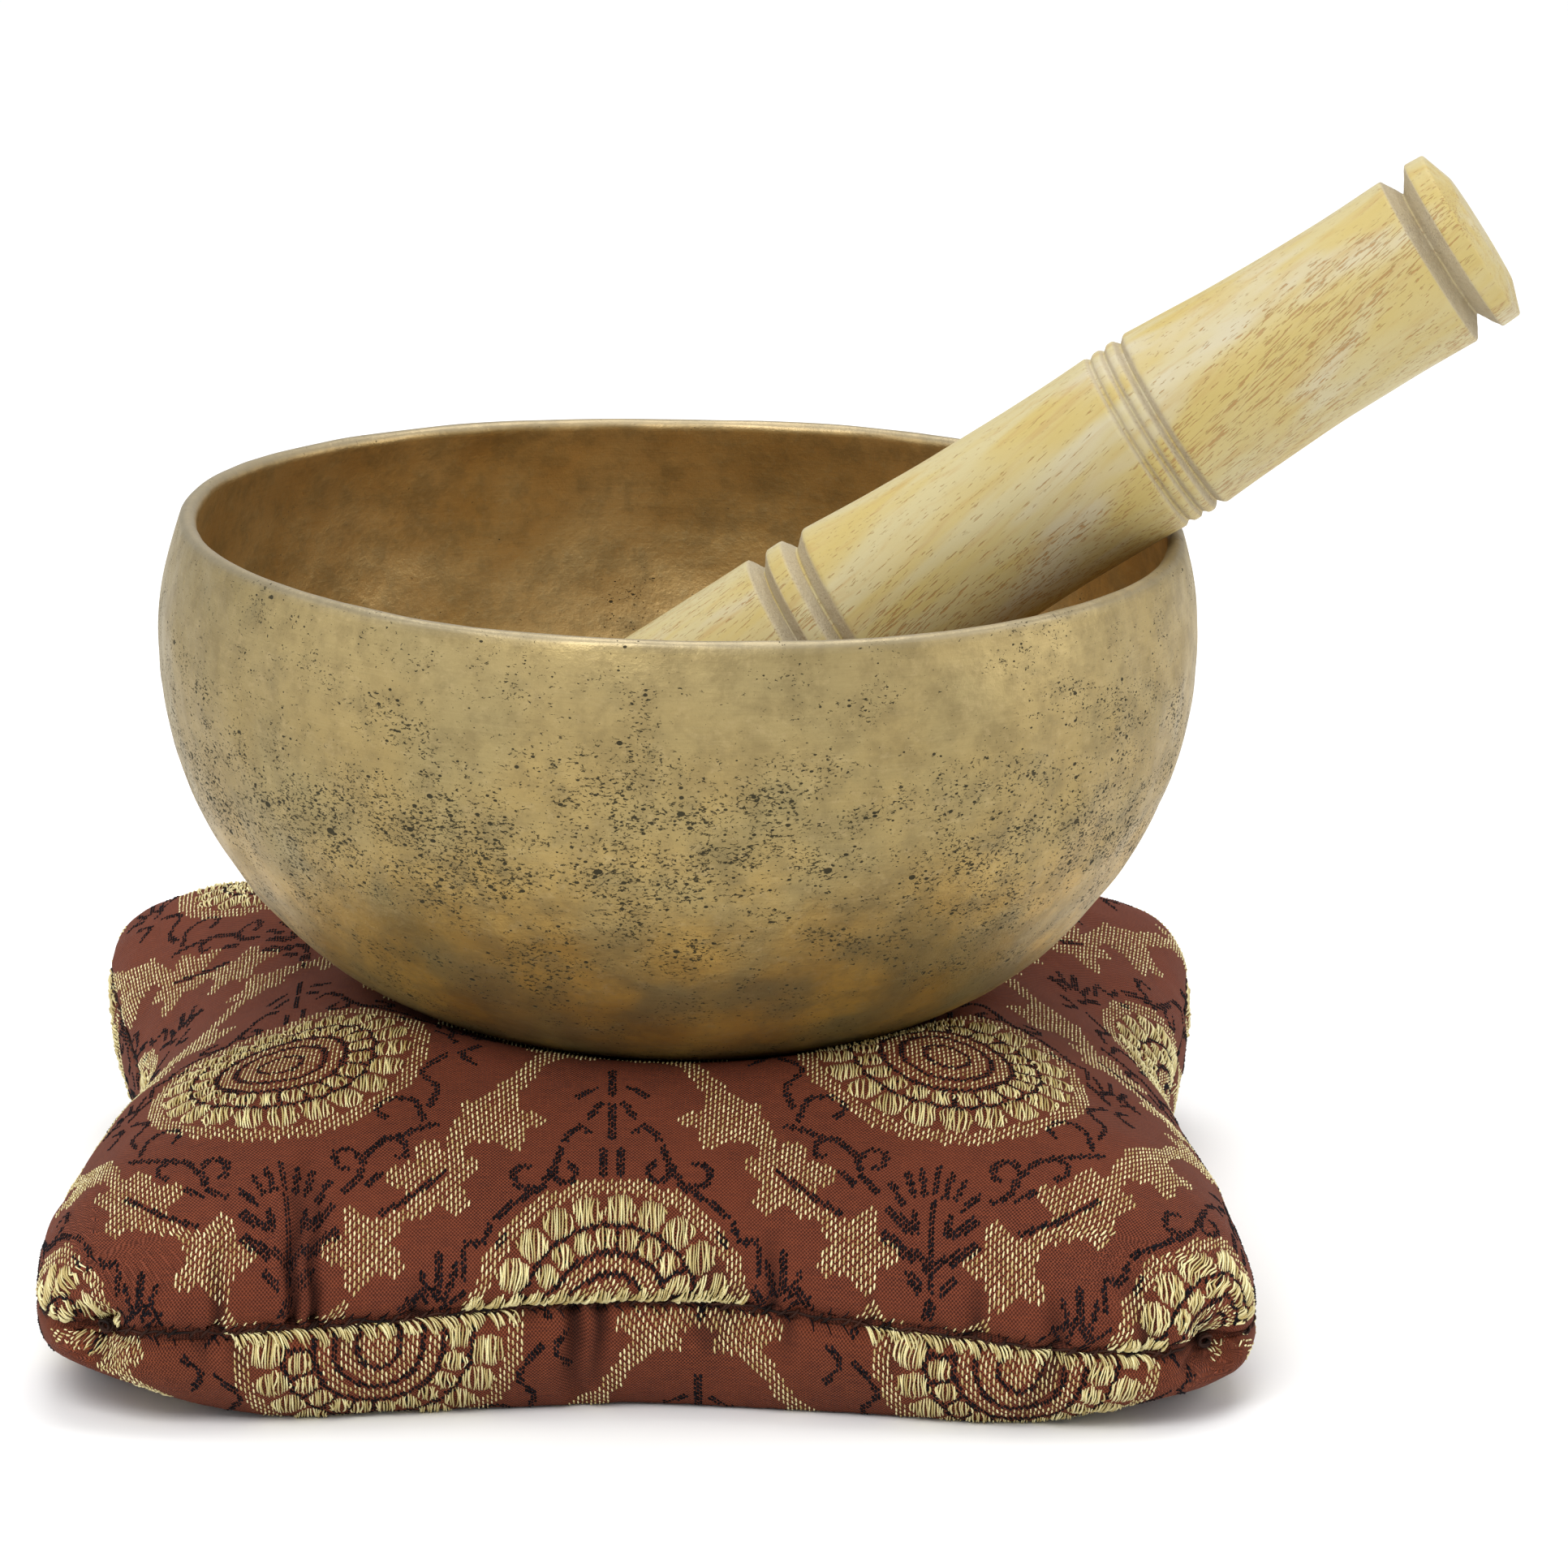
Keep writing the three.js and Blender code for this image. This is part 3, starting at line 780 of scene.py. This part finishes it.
    def blended(self, spot, grids):
        """Values of grids at spots given by angle and length from the middle, and the seam's distance."""
        angle = np.mod(np.arctan2(spot[..., 1], spot[..., 0]) - self.angles[0], TAU) + self.angles[0]
        columns = len(self.angles)
        column = np.interp(angle, np.append(self.angles, self.angles[0] + TAU), np.arange(columns + 1))
        left = np.floor(column).astype(int)
        slip = (column - left)[..., None]
        left, right = left % columns, (left + 1) % columns
        length = self.seam_length[left] * (1 - slip[..., 0]) + self.seam_length[right] * slip[..., 0]
        share = np.hypot(spot[..., 0], spot[..., 1]) / length
        ring = np.interp(share, self.shares, np.arange(len(self.shares)))
        low = np.minimum(np.floor(ring).astype(int), len(self.shares) - 2)
        rise = (ring - low)[..., None]
        values = []
        for grid in grids:
            first = grid[left, low] * (1 - rise) + grid[left, low + 1] * rise
            second = grid[right, low] * (1 - rise) + grid[right, low + 1] * rise
            values.append(first * (1 - slip) + second * slip)
        return *values, (1 - share) * length

    def place(self, cloth):
        """Points and normals on the panel at flat cloth places, and how far each is from the seam."""
        spot = np.array(cloth, float)
        for _ in range(PLACE_STEPS):
            here, _ = self.blended(spot, [self.cloth])
            spot += cloth - here
        points, normals, from_seam = self.blended(spot, [self.points, self.normals])
        return points, unit(normals), from_seam


def join_seams(top, underside):
    """The two panels meet in one line at the bottom of the groove."""
    seam = (top.points[:, -1] + underside.points[:, -1]) / 2
    top.points[:, -1] = seam
    underside.points[:, -1] = seam
    top.finish()
    underside.finish()


def flat_places(cloth):
    """Flat cloth places as vectors, for the materials."""
    return np.column_stack([cloth, 0 * cloth[:, 0]])


def panel_piece(name, node, panel, tint):
    """A closed cloth shell: the panel's outer face and a plainer inner face."""
    columns, rings = panel.points.shape[:2]
    outer = panel.points.transpose(1, 0, 2).reshape(-1, 3)
    kept = np.unique(np.append(np.arange(0, rings - 6, 5), rings - 6))
    thick = FABRIC * np.minimum(1, (1 - panel.shares) / 0.03)
    inner = (panel.points - panel.normals * thick[:, None])[:, kept].transpose(1, 0, 2).reshape(-1, 3)
    second = len(outer)
    middle_outer = second + len(inner)
    faces = wound_faces(rings, columns) + [f[::-1] for f in wound_faces(len(kept), columns, second)]
    seam, last = (rings - 1) * columns, second + (len(kept) - 1) * columns
    for c in range(columns):
        after = (c + 1) % columns
        faces.append([last + after, seam + after, seam + c, last + c])
    faces += fan_faces(middle_outer, 0, columns)
    faces += fan_faces(middle_outer + 1, second, columns, flip=True)
    middle = outer[:columns].mean(0)
    points = np.vstack([outer, inner, middle, middle - UP * (FABRIC if panel.upper else -FABRIC)])
    if not panel.upper:
        faces = [f[::-1] for f in faces]
    flat = panel.cloth.transpose(1, 0, 2)
    cloth = np.vstack([flat.reshape(-1, 2), flat[kept].reshape(-1, 2), [0, 0], [0, 0]])
    # The painted shade of the folds, kept with each point
    depth = panel.depth.T
    fold_shade = np.concatenate([depth.ravel(), depth[kept].ravel(), [0, 0]])
    piece = mesh_piece(name, points, faces, {"fold_shade": fold_shade}, {"cloth": flat_places(cloth)})
    dress(piece, brocade_ground(name, tint), "cushion", node)


# ---- Brocade's figure, in flat millimetres from a medallion's middle, on the right of its axis ----

STEM = [(33.5, 11), (29, 16), (23, 21), (20.5, 28), (18, 33), (13, 38), (9.5, 44), (5, 48), (0, 50)]
STEM_WIDTH = 1.4                    # this and the other widths are half widths
IVY = [                             # gold leaves: place, size and turn in degrees
    ((34, 11.5), 6.0, 70), ((24.5, 20.5), 6.7, 15), ((15, 30.5), 6.1, 250), ((6.5, 48.5), 5.2, 75),
]
MIDRIB = [(23, 21.5), (25.5, 19.6), (28.5, 17.6), (32, 16)]
MIDRIB_WIDTH = 0.45
PETALS_AROUND = 21
PETAL_ROWS = [(15.0, 2.3, 2.02, 0), (10.8, 1.65, 1.42, 0.5)]    # radius, half length, half width, turn
PETAL_SQUARENESS = 2.8
GOLD_RINGS = [(17.4, MEDALLION_RADIUS), (6.5, 8.3), (3.3, 5.6), (0.0, 2.7)]
BLACK_RINGS = [12.8, 8.8, 6.1, 3.0]
BLACK_RING_WIDTH = 0.38
RIB_WIDTH = 0.3                     # of the black lines between the inner petals

SCROLLS = [  # black vines between a medallion and its garland: half width, then points along each
    (0.5, [(7, 25), (8, 22), (10, 18.5), (12.5, 17), (16, 14.5)]),
    (0.45, [(8, 22), (7.5, 19.8), (5.8, 19.5), (5, 21), (6, 22.5)]),
    (0.45, [(10, 18.5), (13, 19), (13.5, 21.5), (11.5, 22)]),
    (0.5, [(15, 11.5), (16, 10)]), (0.5, [(17, 13), (18, 11), (20, 11)]), (0.45, [(20.5, 10), (20.5, 7)]),
    (0.5, [(23.5, 30), (28, 28.5), (31.5, 27), (33.5, 24.5), (34.5, 21.5), (36.5, 20)]),
    (0.45, [(31.5, 27), (30, 28), (28, 27), (28, 25), (29, 24.5)]),
    (0.45, [(33.5, 24.5), (35, 26.5), (37, 26), (37, 24), (36, 23.5)]), (0.5, [(31.5, 22), (33.5, 20.5)]),
    (0.45, [(25, 31), (26, 35), (29, 36), (31, 34), (30, 32)]),
    (0.45, [(24, 34), (23, 38), (25, 42), (22, 46)]),
    (0.45, [(16, 52), (19, 54), (22, 52), (21, 49.5)]), (0.45, [(18, 43), (20, 46), (18, 48)]),
]
BUDS = [  # black leaves over a medallion, at the top of its axis
    (0.5, [(1.2, 20.5), (1.2, 24.5)]), (0.5, [(3, 28), (4.5, 29), (6.5, 26.5)]), (0.5, [(0, 27), (0, 33)]),
    (0.5, [(3, 31), (1.5, 33.5)]), (0.5, [(4.5, 35), (2, 37)]), (0.45, [(0, 35), (0, 41)]),
]
FAN = [(20.2, 5.0), (21.6, 8.3), (24, 9.8), (26.4, 8.0), (27.6, 4.6)]  # ends of black blades
FAN_ROOT = (24, 1)
FAN_WIDTH = 0.42
SPRIG = [  # black sprig that hangs under a medallion
    (0.5, [(0, -24), (0, -27.5)]), (0.45, [(2, -24.5), (1.4, -28)]), (0.45, [(3.8, -25.5), (2.8, -28.5)]),
    (0.5, [(5.8, -27.5), (4, -30)]), (0.4, [(0, -29), (0, -41)]), (0.5, [(2.5, -31), (2, -33.5)]),
    (0.75, [(5.5, -31.5), (3, -33.5)]), (0.85, [(6, -35), (2.8, -37)]), (0.5, [(1.8, -36.5), (0, -39)]),
    (0.6, [(3, -39.5), (1.6, -41)]), (0.9, [(0, -43), (0, -44)]), (0.45, [(0, -46.5), (0, -48)]),
]


def curve(points, steps=6):
    """A smooth line through a few points."""
    points = np.asarray(points, float)
    if len(points) < 3:
        return points
    held = np.vstack([points[0], points, points[-1]])
    share = (np.arange(steps) / steps)[:, None]
    line = []
    for before, start, end, after in zip(held[:-3], held[1:-2], held[2:-1], held[3:]):
        line.append(start + 0.5 * share * (end - before + share * (
            2 * before - 5 * start + 4 * end - after + share * (3 * start - before - 3 * end + after))))
    return np.vstack(line + [points[-1:]])


def near_stroke(x, y, stroke, width):
    """Which points lie within a stroke's half width of its line."""
    near = np.zeros(x.shape, bool)
    line = curve(stroke)
    for (x1, y1), (x2, y2) in zip(line[:-1], line[1:]):
        dx, dy = x2 - x1, y2 - y1
        t = np.clip(((x - x1) * dx + (y - y1) * dy) / (dx * dx + dy * dy), 0, 1)
        near |= np.hypot(x - x1 - t * dx, y - y1 - t * dy) < width
    return near


def in_ivy_leaf(x, y, place, size, turn):
    """Which points lie in a leaf of five pointed lobes, its tip turned by degrees from +X."""
    across, along = x - place[0], y - place[1]
    angle = np.arctan2(along, across) - np.radians(turn)
    lobe = np.cos(2.5 * centred(angle, TAU)) ** 2
    return np.hypot(across, along) < size * (0.63 + 0.38 * lobe)


def petals():
    """Middle, half length, half width and turn of each petal of a medallion."""
    found = []
    for radius, length, width, turn in PETAL_ROWS:
        for k in range(PETALS_AROUND):
            angle = (k + turn) * TAU / PETALS_AROUND
            found.append((radius * np.cos(angle), radius * np.sin(angle), length, width, angle))
    return found


def in_petal(x, y, length, width, angle):
    """Which places round a petal's middle it covers."""
    c, s = np.cos(angle), np.sin(angle)
    out, side = np.abs(x * c + y * s) / length, np.abs(y * c - x * s) / width
    return out ** PETAL_SQUARENESS + side ** PETAL_SQUARENESS < 1


def gold_here(x, y):
    """Where short gold floats lie, right of a medallion's axis or on it."""
    radius, angle = np.hypot(x, y), np.arctan2(y, x)
    scallop = 0.45 * np.abs(np.sin(angle * PETALS_AROUND / 2)) - 0.25
    found = np.zeros(x.shape, bool)
    for low, high in GOLD_RINGS:
        found |= (radius > low) & (radius < high + scallop * (high == MEDALLION_RADIUS))
    found |= near_stroke(x, y, STEM, STEM_WIDTH)
    for place, size, turn in IVY:
        found |= in_ivy_leaf(x, y, place, size, turn)
    return found & ~near_stroke(x, y, MIDRIB, MIDRIB_WIDTH)


def black_here(x, y):
    """Where black floats lie, right of a medallion's axis or on it."""
    radius = np.hypot(x, y)
    found = near_stroke(x, y, MIDRIB, MIDRIB_WIDTH)
    for ring in BLACK_RINGS:
        found |= np.abs(radius - ring) < BLACK_RING_WIDTH
    from_rib = np.abs(centred(np.arctan2(y, x), TAU / PETALS_AROUND)) * radius
    found |= (from_rib < RIB_WIDTH) & (radius > BLACK_RINGS[1]) & (radius < BLACK_RINGS[0])
    for width, stroke in SCROLLS + BUDS + SPRIG:
        found |= near_stroke(x, y, stroke, width)
    for end in FAN:
        start = 0.55 * np.array(FAN_ROOT) + 0.45 * np.array(end)
        found |= near_stroke(x, y, [start, end], FAN_WIDTH)
    return found


def over_cloth(here, flat, origin):
    """Whether a figure covers flat cloth places, repeated over the cloth with a half drop."""
    x, y = flat[..., 0] - origin[0], flat[..., 1] - origin[1]
    found = np.zeros(x.shape, bool)
    for drop in (0, 0.5):
        across = np.abs(centred(x - drop * REPEAT[0], REPEAT[0]))
        along = centred(y - drop * REPEAT[1], REPEAT[1])
        for repeat in (along, along - REPEAT[1], along + REPEAT[1]):
            found |= here(across, repeat)
    return found


# ---- Floats: the brocade's loose threads ----

PETAL_THREAD_PITCH = 0.36
ROPE_PITCH = 0.30                   # along the front seam; the black floats lie four times as far apart
ROPE_END = 74                       # how far the ropes run from the middle of the front seam
FLOAT_END = 0.14                    # where a float's arch leaves the cloth, as an angle
FLOAT_SUNK = 0.02
CLOTH_REACH = 125                   # the cloth's half side, with some to spare
FRONT_LIMIT = -40                   # flat place along the cloth, in front of which floats are twisted


def in_disc(x, y):
    return np.hypot(x, y) < MEDALLION_RADIUS


def float_mesh(name, panel, stations, lift, width, shades, material):
    """Threads through flat stations: closed three-sided strands that rise off the cloth."""
    count, steps = stations.shape[:2]
    points, normals, _ = panel.place(stations)
    along = np.gradient(points, axis=1)
    side = unit(np.cross(normals, along))
    arch = np.sin(np.linspace(FLOAT_END, TAU / 2 - FLOAT_END, steps))
    rise = (lift[:, None] * arch)[..., None]
    half = side * (width[:, None] * (0.55 + 0.45 * arch))[..., None]
    edge = points + normals * (rise * 0.35 - FLOAT_SUNK)
    rings = np.stack([edge - half, points + normals * rise, edge + half], 2)
    vertices = rings.reshape(-1, 3)
    vertices[:, 2] = np.maximum(vertices[:, 2], LEAST_CLEARANCE)
    start = (np.arange(count) * steps * 3)[:, None]
    strand = np.array(wound_faces(steps, 3))
    ends = np.array([[2, 1, 0], [steps * 3 - 3, steps * 3 - 2, steps * 3 - 1]])
    faces = (start[..., None] + strand).reshape(-1, 4).tolist()
    for end in ends:
        faces += (start + end).tolist()
    cloth = flat_places(np.repeat(stations.reshape(-1, 2), 3, 0))
    piece = mesh_piece(name, vertices, faces, {"shade": np.repeat(shades, steps * 3)}, {"cloth": cloth})
    dress(piece, material, "cushion")


def lattice(pitch, row):
    """Places all over the cloth, every second column half a row farther on."""
    columns = np.arange(-CLOTH_REACH, CLOTH_REACH, pitch)
    x, y = np.meshgrid(columns, np.arange(-CLOTH_REACH, CLOTH_REACH, row))
    y = y + (np.arange(len(columns)) % 2) * row / 2
    return np.stack([x, y], -1).reshape(-1, 2)


def short_floats(panel, here, origin, turned, pitch, row, length, seed):
    """Stations of short floats wherever a figure covers the panel."""
    random = np.random.default_rng(seed)
    middles = lattice(pitch, row)
    figure = middles * (-1 if turned else 1)
    middles = middles[over_cloth(here, figure, origin)]
    from_seam = panel.place(middles)[2]
    middles = middles[from_seam > 0.25 + length / 3]
    column = (len(middles), 1)
    along = length * random.uniform(0.82, 1.12, column) * np.linspace(-0.5, 0.5, 3)
    slant = 0.10 + random.normal(0, 0.05, column)
    x = middles[:, :1] + slant * along + random.normal(0, 0.025, column)
    y = middles[:, 1:] + along + random.normal(0, 0.05, column)
    return np.stack([x, y], -1)


def petal_floats(panel, origin, turned, seed):
    """Stations of the long floats that fill the petals, bowed as loose threads are."""
    random = np.random.default_rng(seed)
    up = np.linspace(-1, 1, 61) * 2.8
    found = []
    for i in range(-4, 5):
        for j in range(-4, 5):
            middle = np.array([origin[0] + i * REPEAT[0] / 2, origin[1] + j * REPEAT[1] / 2])
            if (i + j) % 2 or np.abs(middle).max() > CLOTH_REACH + 5:
                continue
            for px, py, *petal in petals():
                for x in np.arange(-2.6, 2.6, PETAL_THREAD_PITCH) + random.uniform(-0.1, 0.1):
                    covered = middle[1] + py + up[in_petal(x, up, *petal)]
                    if len(covered) > 8:
                        found.append((middle[0] + px + x, covered[0], covered[-1]))
    found = np.array(found)
    steps = np.linspace(0, 1, 6)
    ends = found[:, 1:] + random.normal(0, 0.13, (len(found), 2))
    y = ends[:, :1] + (ends[:, 1:] - ends[:, :1]) * steps
    bow = random.normal(0, 0.15, (len(found), 1)) * np.sin(TAU / 2 * steps)
    sway = random.normal(0, 0.08, (len(found), 1)) * np.sin(TAU * steps)
    stations = np.stack([found[:, :1] + bow + sway, y], -1) * (-1 if turned else 1)
    from_seam = panel.place(stations)[2]
    return stations[from_seam.min(1) > 0.3]


def rope_floats(panel, origin, turned, gold, seed):
    """Stations of floats that the hand stitching drags slantwise over the edge of the front seam,
    gold where a medallion runs into the seam and black elsewhere."""
    random = np.random.default_rng(seed)
    x = np.arange(-ROPE_END, ROPE_END, ROPE_PITCH if gold else ROPE_PITCH * 4)
    x = x + random.normal(0, 0.06, len(x))
    edge = panel.cloth[panel.in_front(), -1]
    seam = np.interp(x, edge[:, 0], edge[:, 1])
    sign = -1 if turned else 1
    reach = over_cloth(in_disc, np.stack([x, seam + 1.5], -1) * sign, origin)
    x, seam = x[reach == gold], seam[reach == gold]
    bundle = np.sin(x * TAU / 2.9 + 0.8 * np.sin(x * 0.7))
    kept = bundle > (-0.8 if gold else -0.4)
    x, seam, bundle = x[kept], seam[kept], bundle[kept]
    steps = np.linspace(0, 1, 6)
    tall = ((1.5 if gold else 0.8) + 0.5 * bundle + random.normal(0, 0.2, len(x))).clip(0.5)
    slip = 1.5 + random.normal(0, 0.3, len(x))
    y = seam[:, None] + 0.22 + tall[:, None] * steps
    across = x[:, None] - slip[:, None] * (1 - steps) + 0.25 * np.sin(TAU / 2 * steps)
    return np.stack([across, y], -1)


def twisted(stations, panel, strength):
    """Slants the floats beside the front seam, where the gathering pulls them round."""
    from_seam = panel.place(stations)[2]
    in_front = stations[..., 1] < FRONT_LIMIT
    near = np.exp(-(from_seam / 2.3) ** 2) * in_front
    return stations + strength * near[..., None] * (1.6, 0)


def weave_figure(name, panel, origin, gold, black, turned, twist):
    """The floats of a panel: each kind has its own rise off the cloth and half width."""
    random = np.random.default_rng(5)
    dashes = short_floats(panel, gold_here, origin, turned, pitch=0.60, row=1.06, length=0.86, seed=51)
    ink = short_floats(panel, black_here, origin, turned, pitch=0.40, row=0.76, length=0.66, seed=52)
    loose = petal_floats(panel, origin, turned, seed=53)
    gold_rope = rope_floats(panel, origin, turned, gold=True, seed=54)
    black_rope = rope_floats(panel, origin, turned, gold=False, seed=55)
    for kind, stations, rise, width, material in (
            ("gold_dashes", twisted(dashes, panel, twist), 0.17, 0.148, gold),
            ("black_dashes", twisted(ink, panel, twist), 0.14, 0.21, black),
            ("petal_floats", twisted(loose, panel, twist), 0.42, 0.155, gold),
            ("seam_gold", gold_rope, 0.7, 0.165, gold),
            ("seam_black", black_rope, 0.2, 0.11, black)):
        count = len(stations)
        lift = rise * random.uniform(0.7, 1.35, count)
        half = width * random.uniform(0.8, 1.15, count)
        float_mesh(f"{name}_{kind}", panel, stations, lift, half, random.uniform(0, 1, count), material)


# ---- Seams, ties and wadding ----

# Stitches: spacing, lean along the seam, climb, how far they stand out and how uneven they are
HAND_STITCHES = (2.1, 1.5, 0.75, 0.55, 0.55)
MACHINE_STITCHES = (2.6, 1.9, 0.22, 0.5, 0.1)
STITCH_RADIUS = 0.17
TIE_RADIUS = 0.19
TIE_TURNS = 3.4


def thread_piece(name, node, paths, radius, sides, material):
    """Closed round threads along paths of points."""
    vertices, faces = [], []
    start = 0
    around = (np.arange(sides) * TAU / sides)[:, None]
    for path in paths:
        along = unit(np.gradient(path, axis=0))
        first = unit(np.cross(along, (0.3, 0.2, 1.0)))
        second = np.cross(along, first)
        thick = np.full(len(path), radius)
        thick[[0, -1]] *= 0.45
        ring = first[:, None] * np.cos(around) + second[:, None] * np.sin(around)
        vertices.append((path[:, None] + ring * thick[:, None, None]).reshape(-1, 3))
        faces += wound_faces(len(path), sides, start)
        faces.append(list(range(start, start + sides))[::-1])
        start += len(path) * sides
        faces.append(list(range(start - sides, start)))
    points = np.vstack(vertices)
    piece = mesh_piece(name, points, faces, {"shade": waves(points, 4, 61) * 0.5 + 0.5}, {"cloth": points})
    dress(piece, material, "cushion", node)


def seam_line(top, corner):
    """Places along one seam, from its corner to the next, with the outward direction there."""
    angles = np.linspace(corner + 0.02, corner + TAU / 4 - 0.02, 400)
    wound = np.mod(angles - top.angles[0], TAU) + top.angles[0]
    edge = top.points[:, -1]
    line = at_lengths(wound, np.append(top.angles, top.angles[0] + TAU), np.vstack([edge, edge[:1]]))
    return line, spoke(angles)


def seam_piece(name, node, top, corner, stitches, material):
    """A thread in the seam's groove: a row of stitches, and the thread that runs on behind them."""
    line, outward = seam_line(top, corner)
    length = lengths_along(line)
    random = np.random.default_rng(71)
    spacing, lean, climb, stand, uneven = stitches
    steps = np.linspace(0, 1, 6)
    paths = []
    for start in np.arange(3.5, length[-1] - 4.5, spacing):
        place = start + random.normal(0, uneven) + lean * steps
        out = at_lengths(place, length, outward) * (stand * (0.35 + np.sin(TAU / 2 * steps) * 0.9))[:, None]
        rise = (steps - 0.5) * 2 * climb * (1 + random.normal(0, 0.15))
        paths.append(at_lengths(place, length, line) + out + UP * rise[:, None])
    place = np.arange(2, length[-1] - 2, 0.9)
    back = at_lengths(place, length, line)
    paths.append(back + (at_lengths(place, length, outward) + UP * waves(back, 3.1, 72)[:, None]) * 0.25)
    thread_piece(name, node, paths, STITCH_RADIUS, 6, material)


def tie_piece(name, node, place, deep, material):
    """The loops of thread that gather a corner, drawn tight at the bottom of its dimple."""
    middle, outward = tie_place(*place)
    turn = np.linspace(0, TAU * TIE_TURNS, 90)[:, None]
    spread = 0.85 + 0.22 * np.sin(turn * 0.7)
    depth = np.linspace(-0.5, 0.5, 90)[:, None] + 0.25 * np.sin(turn * 1.3)
    loops = np.cross(outward, UP) * np.cos(turn) * spread + UP * np.sin(turn) * spread * 0.75
    path = middle + outward * (depth + 0.3 - deep) + loops
    thread_piece(name, node, [path], TIE_RADIUS, 7, material)


def wadding_piece(top, underside):
    """The filling: the cushion's own form, a little inside the cloth."""
    layers = []
    for panel, order in ((underside, 1), (top, -1)):
        inset = panel.points - panel.normals * (WADDING_INSET * fade(1 - panel.shares, 0, 0.06))[:, None]
        rows = np.arange(3, len(panel.shares) - 15, 4)
        layers.append(inset[::3][:, rows].transpose(1, 0, 2)[::order])
    rings = np.concatenate(layers)
    from_axis = np.hypot(rings[..., 0], rings[..., 1])
    rings[..., :2] *= (1 - WADDING_DRAWN_IN / from_axis.clip(16))[..., None]
    columns = rings.shape[1]
    points = rings.reshape(-1, 3)
    count = len(points)
    points = np.vstack([points, points[:columns].mean(0), points[-columns:].mean(0)])
    faces = wound_faces(len(rings), columns)
    faces += fan_faces(count, 0, columns, flip=True)
    faces += fan_faces(count + 1, (len(rings) - 1) * columns, columns)
    piece = mesh_piece("cotton_wadding", points, faces, vectors={"cloth": points})
    dress(piece, cotton_wadding(), "cushion", "cushion_filling")


def make_cushion():
    top = Panel(top_height, TOP_CREASES, upper=True)
    underside = Panel(underside_height, UNDERSIDE_CREASES, upper=False)
    join_seams(top, underside)

    panel_piece("brocade_top", "cushion_top_panel", top, (0.178, 0.0375, 0.0130))
    panel_piece("brocade_underside", "cushion_bottom_panel", underside, (0.184, 0.0415, 0.0130))

    gold = float_thread("gold_thread", (0.50, 0.38, 0.135), (0.97, 0.89, 0.50), roughness=0.45, shine=0.5)
    black = float_thread("black_thread", (0.003, 0.0025, 0.0035), (0.011, 0.009, 0.012), roughness=0.75,
                         shine=0.08)
    front_edge = top.cloth[np.argmin(np.sin(top.angles)), -1, 1]
    top_origin = (AXIS, front_edge - BELOW_SEAM)
    weave_figure("top", top, top_origin, gold, black, turned=False, twist=-1.0)
    weave_figure("underside", underside, UNDERSIDE_ORIGIN, gold, black, turned=True, twist=0.35)

    dark = float_thread("seam_thread", (0.010, 0.006, 0.005), (0.055, 0.020, 0.012), roughness=0.75,
                        shine=0.15)
    for side, corner, stitches in (("closing", 2, HAND_STITCHES), ("right", 3, MACHINE_STITCHES),
                                   ("back", 0, MACHINE_STITCHES), ("left", 1, MACHINE_STITCHES)):
        seam_piece(f"{side}_stitches", f"{side}_seam_thread", top, CORNERS[corner], stitches, dark)
    for corner, (place, deep, _) in DIMPLES.items():
        tie_piece(f"tie_{corner}", f"corner_tie_{corner}", place, deep, dark)
    wadding_piece(top, underside)


# ---- Studio ----

CAMERA_PLACE = np.array([18.8, -1275.4, 400.2])
CAMERA_DIP = np.radians(14.68)
CAMERA_LENS = 223.6
FLOOR_HALF_SIDE = 3000
SOFTBOXES = [                       # name, place and size in metres, power in watts
    ("key", (-0.35, -0.95, 1.15), (0.9, 0.7), 12),
    ("left", (-1.2, -0.2, 0.5), (0.5, 0.9), 2),
    ("right", (1.2, -0.1, 0.6), (0.5, 0.9), 4),
    ("top", (0.1, 0.35, 1.2), (1.0, 0.8), 8),
]


def make_studio():
    scene = bpy.context.scene
    camera = bpy.data.objects.new("camera", bpy.data.cameras.new("camera"))
    camera.location = CAMERA_PLACE * MM
    camera.rotation_euler = (TAU / 4 - CAMERA_DIP, 0, 0)
    camera.data.sensor_width = 36
    camera.data.lens = CAMERA_LENS
    camera.data.clip_end = 20
    scene.collection.objects.link(camera)
    scene.camera = camera

    corners = np.array([[-1, -1, 0], [1, -1, 0], [1, 1, 0], [-1, 1, 0]])
    floor = mesh_piece("floor", corners * FLOOR_HALF_SIDE, [[0, 1, 2, 3]])
    floor.data.materials.append(Look("plain_floor", (0.93, 0.93, 0.93)).finish(Roughness=0.9))

    for name, place, size, power in SOFTBOXES:
        light = bpy.data.lights.new(name, "AREA")
        light.shape = "RECTANGLE"
        light.size, light.size_y = size
        light.energy = power
        lamp = bpy.data.objects.new(name, light)
        lamp.location = place
        lamp.rotation_euler = (Vector((0, 0, 0.05)) - Vector(place)).to_track_quat("-Z", "Y").to_euler()
        scene.collection.objects.link(lamp)

    world = bpy.data.worlds.new("studio")
    world.use_nodes = True
    background = world.node_tree.nodes["Background"]
    background.inputs["Color"].default_value = (1, 1, 1, 1)
    background.inputs["Strength"].default_value = 0.68
    scene.world = world
    scene.view_settings.view_transform = "Standard"


make_studio()
make_bowl()
make_striker()
make_cushion()
